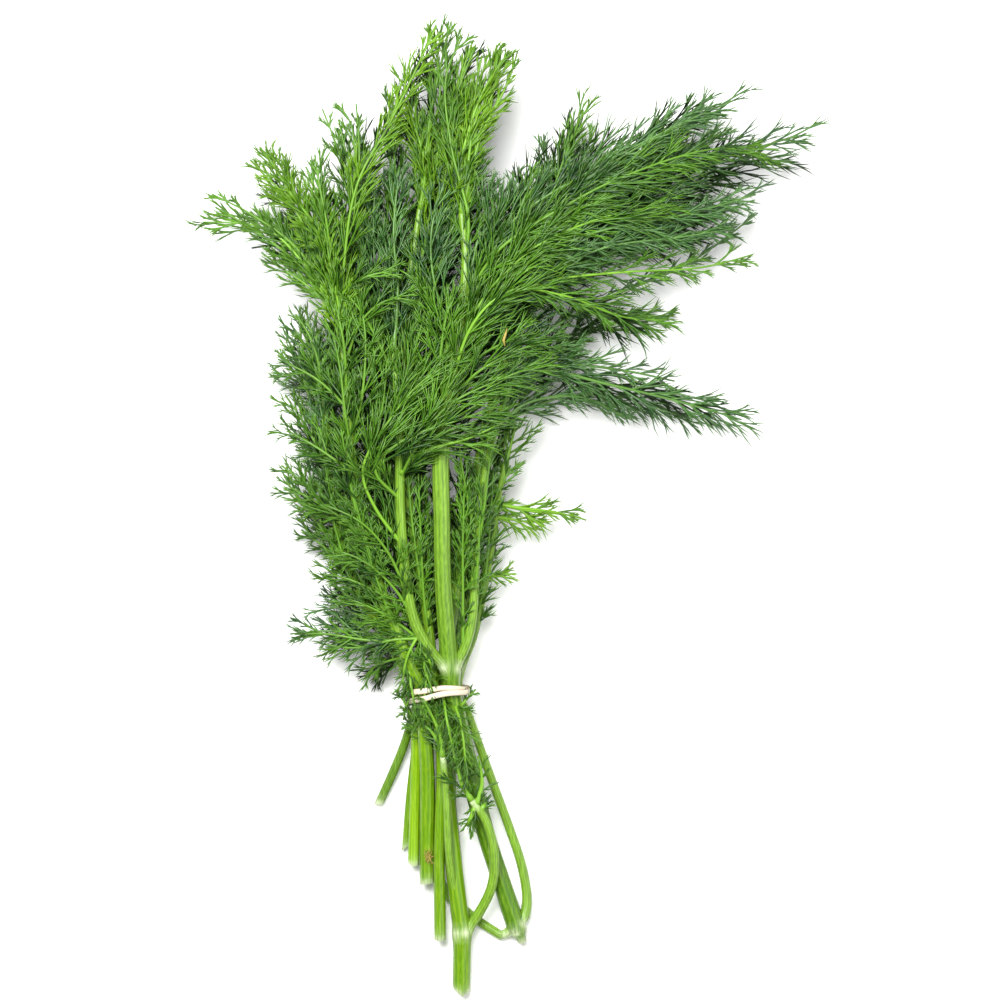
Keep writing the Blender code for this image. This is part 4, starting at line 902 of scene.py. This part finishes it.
def add_forks(tubes, habit, pinnules, draw):
    """Threads that fork from the longer pinnules."""
    forked = np.flatnonzero(pinnules.lengths > SHORTEST_FORKED)
    which = np.repeat(forked, habit.forks)
    step = np.tile(np.arange(habit.forks), len(forked))
    hand = np.where((step + pinnules.order[which]) % 2 == 0, -1.0, 1.0)
    at = spots_along(FORK_SPAN, step, habit.forks, draw)
    lengths = (pinnules.lengths[which] * habit.fork_share * (1 - 0.30 * at)
               * draw.uniform(0.7, 1.15, len(which)))
    sweep = np.radians(habit.fork_sweep * draw.uniform(*SWEEP_RANGE, len(which)))
    lift = np.radians(draw.normal(0, THREAD_LIFT, len(which)))
    curl = habit.curl * draw.uniform(*CURL_RANGE, len(which))
    lines, _ = sprout(pinnules.lines, pinnules.planes, which, at, hand, sweep, lift, lengths, curl,
                      len(FORK_TAPER), draw)
    radii = np.array(FORK_TAPER)[None] * habit.thread * draw.uniform(0.85, 1.05, (len(which), 1))
    tints = np.clip(pinnules.tints[which] + draw.normal(0, 0.12, len(which)), 0, 1)
    add_shoots(tubes, lines, radii, 3, tints, (0.6, 1))


def grow_frond(frond, line, end_radius, finish):
    """A whole frond: rachis, side branches in pairs, their pinnules, and the threads that fork from those."""
    draw = np.random.default_rng([SEED, sum(ord(letter) * k for k, letter in enumerate(frond.name, 1))])
    habit = HABITS[frond.habit]
    tubes = Tubes()
    add_rachis(tubes, frond, line, end_radius)
    pinnae = add_pinnae(tubes, frond, habit, line, draw)
    pinnules = add_pinnules(tubes, habit, pinnae, draw)
    add_forks(tubes, habit, pinnules, draw)
    dress(tubes.build(frond.name.replace("frond", "feathery"), finish), frond.name)


def branch_route(name, branch, stems):
    """The fine route of a stem or of one of its branches, which starts inside the main stem."""
    line = stems[(name, branch)].copy()
    if branch == "main":
        return line
    trunk = stems[(name, "main")]
    nearest = int(np.argmin(np.linalg.norm(trunk[:, :3] - line[0, :3], axis=1)))
    forward = 1 if line[4, 1] > line[0, 1] else -1
    back = int(np.clip(nearest - forward * 2, ROOT_RINGS, len(trunk) - 1))
    inside = np.append(trunk[back, :3], line[0, 3] * 0.9)
    return smooth_line(np.vstack([inside[None], line[2:]]), STEM_RINGS)


def joint_spots(name, stems):
    """Where branches leave the main stem, as plan positions."""
    spots = [stems[(name, branch)][0, :2] for branch in STEMS[name] if branch not in ("main", "short_stalk")]
    return np.array(spots).reshape(-1, 2)


def closeness(points, spots, spread):
    """One at the plan positions, falling to nothing away from them."""
    if not len(spots):
        return np.zeros(len(points))
    gaps = np.linalg.norm(points[:, None, :2] - spots[None], axis=2).min(1)
    return np.exp(-(gaps / spread) ** 2)


def ribbed_tube(line, phase, spots, cut):
    """Rings of a ribbed stem, swollen at its joints and cut to a slant or a point, and its ribs' heights."""
    tangents = unit(np.gradient(line[:, :3], axis=0))
    side = unit(np.cross(tangents, [0.0, 0.0, 1.0]))
    over = np.cross(side, tangents)
    turn = np.linspace(0, 2 * math.pi, STEM_SIDES, endpoint=False)
    run = arc_lengths(line)
    twist = TWIST * np.sin(run / TWIST_LENGTH + phase)
    rib = np.cos(RIBS * (turn[None] + twist[:, None]) + phase)
    swell = 1 + JOINT_SWELL * closeness(line, spots, JOINT_LENGTH)
    uneven = 1 + UNEVENNESS * np.sin(run / UNEVEN_LENGTH + 3 * phase)
    radius = (line[:, 3] * swell * uneven)[:, None] * (1 + RIB_DEPTH * rib / 2)
    skin = (line[:, None, :3] + radius[..., None] * (np.cos(turn)[None, :, None] * side[:, None]
                                                     + np.sin(turn)[None, :, None] * over[:, None]))
    slant, point, place_of_point = cut
    across = np.cos(turn)
    setback = line[0, 3] * (slant * across + point * np.abs(across - place_of_point) + 0.5 * abs(slant))
    fade = np.exp(-run[:, None] / (1.4 * setback.max() + 0.0005))
    skin += (setback[None] * fade)[..., None] * tangents[:, None]
    skin[..., 2] = np.maximum(skin[..., 2], 0)
    return skin, rib


def sunken_rim(line, skin):
    """Rings that dip from the cut edge of a stem into its pith."""
    centre = skin[0].mean(0)
    inward = unit(line[1, :3] - line[0, :3])
    return [centre + (skin[0] - centre) * scale + inward * depth * line[0, 3] for scale, depth in RIM_RINGS]


def rounded_tip(line, skin):
    """Rings that close the far end of a stem or branch."""
    onward = unit(line[-1, :3] - line[-2, :3]) * line[-1, 3]
    return [line[-1, :3] + (skin[-1] - line[-1, :3]) * scale + onward * out for scale, out in TIP_RINGS]


def ring_faces(rows, sides, base):
    """Quads between rings of points that follow one another."""
    corner = np.arange(sides)
    start = base + np.arange(rows - 1)[:, None] * sides
    low, beside = start + corner, start + (corner + 1) % sides
    return np.stack([low, beside, beside + sides, low + sides], axis=-1).reshape(-1, 4)


def stem_piece(name, stems, finish, cut_finish):
    """One stem with its branches: ribbed skins, pale at joints and ends, with sunken pith where it is cut."""
    spots = joint_spots(name, stems)
    patches = np.array([place(x, y, 0)[:2] for x, y in PALE_SPOTS.get(name, ())]).reshape(-1, 2)
    rims, tips = len(RIM_RINGS), len(TIP_RINGS)
    points, faces, caps, is_cut, ribs, pales, heights = [], [], [], [], [], [], []
    base = 0
    for k, branch in enumerate(STEMS[name]):
        main = branch == "main"
        line = branch_route(name, branch, stems)
        skin, rib = ribbed_tube(line, 0.7 * k + len(name), spots, CUTS[name] if main else SQUARE_CUT)
        rows = np.stack(sunken_rim(line, skin) + list(skin) + rounded_tip(line, skin))
        quads = ring_faces(len(rows), STEM_SIDES, base)
        faces.append(quads)
        is_cut.append(np.arange(len(quads)) < (rims - 1) * STEM_SIDES)
        points.append(rows.reshape(-1, 3))
        ribs.append(np.vstack([np.zeros((rims, STEM_SIDES)), rib, np.zeros((tips, STEM_SIDES))]).ravel())
        run = arc_lengths(line)
        run = np.concatenate([np.zeros(rims), run, np.full(tips, run[-1])])
        end_pale = np.repeat(np.exp(-run / PALE_END) * main, STEM_SIDES)
        pales.append(np.maximum(closeness(points[-1], patches, PALE_LENGTH), end_pale))
        climb = run / run[-1] if main else np.full(len(run), BRANCH_HEIGHT)
        heights.append(np.repeat(climb, STEM_SIDES))
        caps.append(list(range(base + STEM_SIDES - 1, base - 1, -1)))
        base += len(points[-1])
        caps.append(list(range(base - STEM_SIDES, base)))
    mesh = bpy.data.meshes.new(name)
    mesh.from_pydata(np.vstack(points).tolist(), [], np.vstack(faces).tolist() + caps)
    mesh.shade_smooth()
    for label, values in (("rib", ribs), ("pale", pales), ("height", heights)):
        mark_points(mesh, label, np.concatenate(values))
    mesh.materials.append(finish)
    mesh.materials.append(cut_finish)
    chosen = np.concatenate(is_cut + [np.tile([True, False], len(points))])
    mesh.polygons.foreach_set("material_index", chosen.astype(np.int32))
    dress(placed(name.replace("stem", "stalk"), mesh), name)


def band_line(stems):
    """Centre line of the rubber band: a loop wound twice round the stems, crossing itself on the right."""
    tie = place(0, TIE_Y, 0)[1]
    rows = np.vstack(list(stems.values()))
    half_width = BAND_SPREAD + BAND_FLATNESS * BAND_THICKNESS / 2
    rows = rows[np.abs(rows[:, 1] - tie) < half_width + BAND_GAP]
    middle = (rows[:, [0, 2]].min(0) + rows[:, [0, 2]].max(0)) / 2
    angles = np.linspace(0, 2 * math.pi, BEARINGS, endpoint=False)
    facing = np.stack([np.cos(angles), np.sin(angles)], axis=1)
    support = ((rows[:, [0, 2]] - middle) @ facing.T + rows[:, 3:4] * STEM_CLEARANCE).max(0)
    line = []
    for turn in np.linspace(0, 4 * math.pi, BAND_POINTS, endpoint=False):
        bearing = turn + math.pi
        lean = np.cos(bearing - angles)
        front = lean > 0.2
        hull = (support[front] / lean[front]).min()
        out = hull + 0.5 * BAND_GAP + BAND_THICKNESS / 2 * (2 + math.sin(turn / 2))
        sway = STRAND_SPREAD * math.cos(turn / 2) + BAND_SWAY * math.sin(3 * turn + 0.6)
        sway += BAND_TILT * math.cos(bearing)
        line.append((middle[0] + out * math.cos(bearing), tie + sway, middle[1] + out * math.sin(bearing)))
    return np.array(line)


def band_piece(stems, finish):
    """The rubber band: a closed loop with a flat, softly rounded section."""
    line = band_line(stems)
    count = len(line)
    ahead = unit(np.roll(line, -1, axis=0) - np.roll(line, 1, axis=0))
    along_stems = np.array([0.0, 1.0, 0.0])
    width_way = unit(along_stems - (ahead @ along_stems)[:, None] * ahead)
    out_way = np.cross(ahead, width_way)
    turn = np.linspace(0, 2 * math.pi, BAND_SIDES, endpoint=False)
    square = 0.7
    wide = np.sign(np.cos(turn)) * np.abs(np.cos(turn)) ** square
    thick = np.sign(np.sin(turn)) * np.abs(np.sin(turn)) ** square
    waver = 1 + BAND_WAVER * np.sin(np.linspace(0, 2 * math.pi * BAND_WAVES, count, endpoint=False))
    width = (wide * STRAND_WIDTH / 2)[None, :, None] * waver[:, None, None]
    height = (thick * BAND_THICKNESS / 2)[None, :, None]
    skin = line[:, None] + width_way[:, None] * width + out_way[:, None] * height
    quads = ring_faces(count + 1, BAND_SIDES, 0) % (count * BAND_SIDES)
    mesh = bpy.data.meshes.new("band")
    mesh.from_pydata(skin.reshape(-1, 3).tolist(), [], quads.tolist())
    mesh.shade_smooth()
    mark_points(mesh, "edge", np.tile(np.abs(wide), count))
    mesh.materials.append(finish)
    dress(placed("doubled_band", mesh), "rubber_band")


class Nodes:
    """Short calls for building a node tree."""

    def __init__(self, tree):
        self.tree = tree

    def add(self, kind, **settings):
        node = self.tree.nodes.new(kind)
        for key, value in settings.items():
            setattr(node, key, value)
        return node

    def link(self, source, target):
        self.tree.links.new(source, target)
    def mix(self, share, first, second):
        """A mix of two colours or sockets."""
        node = self.add("ShaderNodeMix", data_type="RGBA")
        sockets = (node.inputs["Factor"], node.inputs[6], node.inputs[7])
        for socket, source in zip(sockets, (share, first, second)):
            if isinstance(source, bpy.types.NodeSocket):
                self.link(source, socket)
            else:
                socket.default_value = source if isinstance(source, float) else (*source, 1)
        return node.outputs[2]

    def math(self, operation, first, second=0.0, clamp=False):
        """A maths node on two numbers or sockets."""
        node = self.add("ShaderNodeMath", operation=operation, use_clamp=clamp)
        for socket, source in zip(node.inputs, (first, second)):
            if isinstance(source, bpy.types.NodeSocket):
                self.link(source, socket)
            else:
                socket.default_value = source
        return node.outputs[0]

    def attribute(self, name):
        return self.add("ShaderNodeAttribute", attribute_name=name).outputs["Fac"]

    def noise(self, scale, detail=2.0, vector=None):
        node = self.add("ShaderNodeTexNoise")
        node.inputs["Scale"].default_value = scale
        node.inputs["Detail"].default_value = detail
        if vector is not None:
            self.link(vector, node.inputs["Vector"])
        return node.outputs["Fac"]

    def ramp(self, source, low, high):
        """Spreads the stretch from low to high over 0 to 1."""
        node = self.add("ShaderNodeMapRange")
        node.inputs["From Min"].default_value = low
        node.inputs["From Max"].default_value = high
        self.link(source, node.inputs["Value"])
        return node.outputs["Result"]

def new_material(name, roughness, coat=0.0):
    """An empty Principled material with its constants set, and its node helper."""
    made = bpy.data.materials.new(name)
    made.use_nodes = True
    nodes = Nodes(made.node_tree)
    shader = made.node_tree.nodes["Principled BSDF"]
    shader.inputs["Roughness"].default_value = roughness
    shader.inputs["Coat Weight"].default_value = coat
    shader.inputs["Coat Roughness"].default_value = 0.25
    return made, nodes, shader


def object_position(nodes):
    """Positions in the piece's own frame, which move with it."""
    return nodes.add("ShaderNodeTexCoord").outputs["Object"]


def bump(nodes, shader, height, strength, distance):
    """Feeds a height into the shader's normal."""
    node = nodes.add("ShaderNodeBump")
    node.inputs["Strength"].default_value = strength
    node.inputs["Distance"].default_value = distance
    nodes.link(height, node.inputs["Height"])
    nodes.link(node.outputs["Normal"], shader.inputs["Normal"])


def leaf_colour_group():
    """Shared effect: green that runs from a petiole tone to a tip tone, with patches of a deeper one."""
    group = bpy.data.node_groups.new("leaf_colour", "ShaderNodeTree")
    for label in ("Petiole", "Deep", "Bright", "Tip"):
        group.interface.new_socket(label, in_out="INPUT", socket_type="NodeSocketColor")
    group.interface.new_socket("Colour", in_out="OUTPUT", socket_type="NodeSocketColor")
    nodes = Nodes(group)
    source = nodes.add("NodeGroupInput")
    sink = nodes.add("NodeGroupOutput")
    tint = nodes.attribute("tint")
    share = nodes.attribute("share")
    position = nodes.add("ShaderNodeTexCoord").outputs["Object"]
    patches = nodes.ramp(nodes.noise(55, 2, position), 0.35, 0.65)
    blend = nodes.math("ADD", nodes.math("MULTIPLY", tint, 0.6), nodes.math("MULTIPLY", patches, 0.4), True)
    body = nodes.mix(blend, source.outputs["Deep"], source.outputs["Bright"])
    end = nodes.math("MULTIPLY", nodes.ramp(share, 0.75, 1.0), 0.5, True)
    tipped = nodes.mix(end, body, source.outputs["Tip"])
    petiole = nodes.ramp(share, 0.38, 0.2)
    nodes.link(nodes.mix(petiole, tipped, source.outputs["Petiole"]), sink.inputs["Colour"])
    return group

def frond_finish(group, name, gloss, *tones):
    """Leaf thread finish: satin, with the shared leaf colours."""
    made, nodes, shader = new_material(name, 0.38)
    shader.inputs["Specular IOR Level"].default_value = gloss
    colour = nodes.add("ShaderNodeGroup", node_tree=group)
    for label, tone in zip(("Petiole", "Deep", "Bright", "Tip"), tones):
        colour.inputs[label].default_value = (*tone, 1)
    nodes.link(colour.outputs["Colour"], shader.inputs["Base Color"])
    bump(nodes, shader, nodes.noise(900, 2, object_position(nodes)), 0.25, 0.0002)
    return made


def stem_finish(name, groove, crest):
    """Stem skin: grooves darkened with painted shade and ribs lightened with painted light for their relief,
    over the stem's own paler ribs, with painted highlight streaks, whitish joints, greener towards the
    fronds.
    """
    made, nodes, shader = new_material(name, 0.32, 0.14)
    shader.inputs["Specular IOR Level"].default_value = 0.28
    rib = nodes.ramp(nodes.attribute("rib"), -0.6, 1)
    position = object_position(nodes)
    stretch = nodes.add("ShaderNodeMapping")
    stretch.inputs["Scale"].default_value = (1, 0.06, 1)
    nodes.link(position, stretch.inputs["Vector"])
    streaks = nodes.noise(1700, 3, stretch.outputs["Vector"])
    lines = nodes.ramp(streaks, 0.36, 0.64)
    patches = nodes.ramp(nodes.noise(60, 3, position), 0.35, 0.65)
    # Mix of painted shade in the grooves, painted light on the crests and the stem's own pale stripes
    shade = nodes.math("ADD", nodes.math("MULTIPLY", rib, 0.55), nodes.math("MULTIPLY", lines, 0.45), True)
    body = nodes.mix(shade, groove, crest)
    aged = nodes.mix(shade, tuple(UPPER_GROOVE * part for part in UPPER_GREEN), UPPER_GREEN)
    climb = nodes.ramp(nodes.attribute("height"), 0.28, 0.60)
    body = nodes.mix(climb, body, aged)
    # Painted highlight: lighter streaks in patches that stand in for gloss glints along the stem
    painted_highlight_streaks = nodes.math("MULTIPLY", nodes.ramp(streaks, 0.60, 0.75), patches, True)
    painted_highlight_body = nodes.mix(nodes.math("MULTIPLY", painted_highlight_streaks, 0.4), body, (0.36, 0.50, 0.12))
    pale = nodes.math("MULTIPLY", nodes.attribute("pale"), nodes.ramp(lines, -0.6, 0.8), True)
    nodes.link(nodes.mix(pale, painted_highlight_body, (0.62, 0.70, 0.44)), shader.inputs["Base Color"])
    bump(nodes, shader, streaks, 0.35, 0.0003)
    return made


def pith_finish():
    """The cut face of a stem: a green rim round pale, moist pith."""
    made, nodes, shader = new_material("cut_pith", 0.5)
    cells = nodes.noise(2500, 2, object_position(nodes))
    nodes.link(nodes.mix(cells, (0.30, 0.42, 0.14), (0.62, 0.66, 0.38)), shader.inputs["Base Color"])
    bump(nodes, shader, cells, 0.5, 0.0002)
    return made


def rubber_finish():
    """Cream natural rubber with a faint bloom and darker, tan edges."""
    made, nodes, shader = new_material("cream_rubber", 0.45)
    bloom = nodes.noise(400, 4, object_position(nodes))
    face = nodes.mix(bloom, (0.58, 0.50, 0.36), (0.68, 0.61, 0.48))
    edge = nodes.ramp(nodes.attribute("edge"), 0.80, 0.98)
    nodes.link(nodes.mix(edge, face, (0.24, 0.13, 0.05)), shader.inputs["Base Color"])
    bump(nodes, shader, bloom, 0.2, 0.0002)
    return made


def dry_finish():
    """Dried plant fibre: straw to olive brown."""
    made, nodes, shader = new_material("dry_fibre", 0.7)
    grain = nodes.noise(1200, 2, object_position(nodes))
    nodes.link(nodes.mix(grain, (0.22, 0.15, 0.02), (0.50, 0.42, 0.10)), shader.inputs["Base Color"])
    bump(nodes, shader, grain, 0.4, 0.0002)
    return made


def dry_piece(finish):
    """The torn fibres where a leaf was pulled off a stem, and one dried sheath among the fronds."""
    draw = np.random.default_rng(SEED)
    tubes = Tubes()
    tint = np.array([0.5])
    steps = np.linspace(0, 1, 5)[:, None]
    for _ in range(SCAR_FIBRES):
        root = np.array(place(*SCAR_PLACE)) + draw.normal(0, 1, 3) * SCAR_SPREAD
        way = draw.normal(0, 1, 3) * FIBRE_REACH + FIBRE_LEAN
        bow = np.array(FIBRE_BOW) * np.sin(math.pi * steps)
        tubes.add((root + way * steps + bow)[None], np.linspace(*FIBRE_RADII, 5)[None], 4, tint, steps.T)
    sheath = np.array([place(*point) for point in SHEATH])
    tubes.add(sheath[None], np.array([SHEATH_RADII]), 6, tint, np.ones((1, 4)), SHEATH_FLATNESS)
    dress(tubes.build("dry_bits", finish), "none")


def make_floor():
    """A plain pale floor, just under the bunch."""
    mesh = bpy.data.meshes.new("floor")
    half = 3.0
    corners = [(-half, -half, 0), (half, -half, 0), (half, half, 0), (-half, half, 0)]
    mesh.from_pydata(corners, [], [(0, 1, 2, 3)])
    floor = placed("floor", mesh)
    floor.location.z = -0.0002
    made, _, shader = new_material("pale_floor", 0.9)
    shader.inputs["Base Color"].default_value = (0.93, 0.93, 0.92, 1)
    shader.inputs["Emission Color"].default_value = (1, 1, 1, 1)
    shader.inputs["Emission Strength"].default_value = 0.12
    mesh.materials.append(made)


def area_light(name, position, size, power):
    """A square soft light aimed at the middle of the bunch."""
    lamp = bpy.data.lights.new(name, "AREA")
    lamp.shape = "SQUARE"
    lamp.size = size
    lamp.energy = power
    holder = placed(name, lamp)
    holder.location = position
    holder.rotation_euler = (-Vector(position)).to_track_quat("-Z", "Y").to_euler()


def light_the_scene():
    """Soft daylight all round, a large soft light from the upper left, a weak one from the lower right."""
    world = bpy.data.worlds.new("studio")
    world.use_nodes = True
    background = world.node_tree.nodes["Background"]
    background.inputs["Color"].default_value = (1.0, 1.0, 1.0, 1)
    background.inputs["Strength"].default_value = 0.24
    bpy.context.scene.world = world
    area_light("key", (-0.25, 0.40, 1.1), 0.7, 29)
    area_light("fill", (0.7, -0.3, 0.9), 0.8, 5)
    bpy.context.scene.view_settings.view_transform = "Standard"


def make_camera():
    """Straight down, with one thousand plan units across the picture."""
    data = bpy.data.cameras.new("camera")
    camera = placed("camera", data)
    distance = 4.0
    middle_height = 0.020
    width = PICTURE_WIDTH * PLAN_SCALE
    x, y, _ = place(*PICTURE_CENTRE, 0)
    camera.location = (x, y, middle_height + distance)
    data.sensor_width = 36.0
    data.lens = data.sensor_width * distance / width
    bpy.context.scene.camera = camera


def main():
    make_camera()
    light_the_scene()
    make_floor()
    stems = {(name, branch): stem_line(points, STEM_RINGS) for name, branches in STEMS.items()
             for branch, points in branches.items()}
    leaf = leaf_colour_group()
    threads = {tone: frond_finish(leaf, *look) for tone, look in LEAF_LOOKS.items()}
    skins = {name: stem_finish(*look) for name, look in STEM_LOOKS.items()}
    lime_skin = stem_finish(*OTHER_STEMS)
    pith = pith_finish()
    for name in STEMS:
        stem_piece(name, stems, skins.get(name, lime_skin), pith)
    band_piece(stems, rubber_finish())
    dry_piece(dry_finish())
    for frond in FRONDS + FILLERS + painted_shade_twins():
        line = rachis_line(frond, stems)
        stalk_end = stems[frond.parent][-1]
        at_the_end = np.linalg.norm(stalk_end[:3] - line[0]) < STALK_END
        grow_frond(frond, line, stalk_end[3] if at_the_end else 0.0, threads[frond.tone])


main()
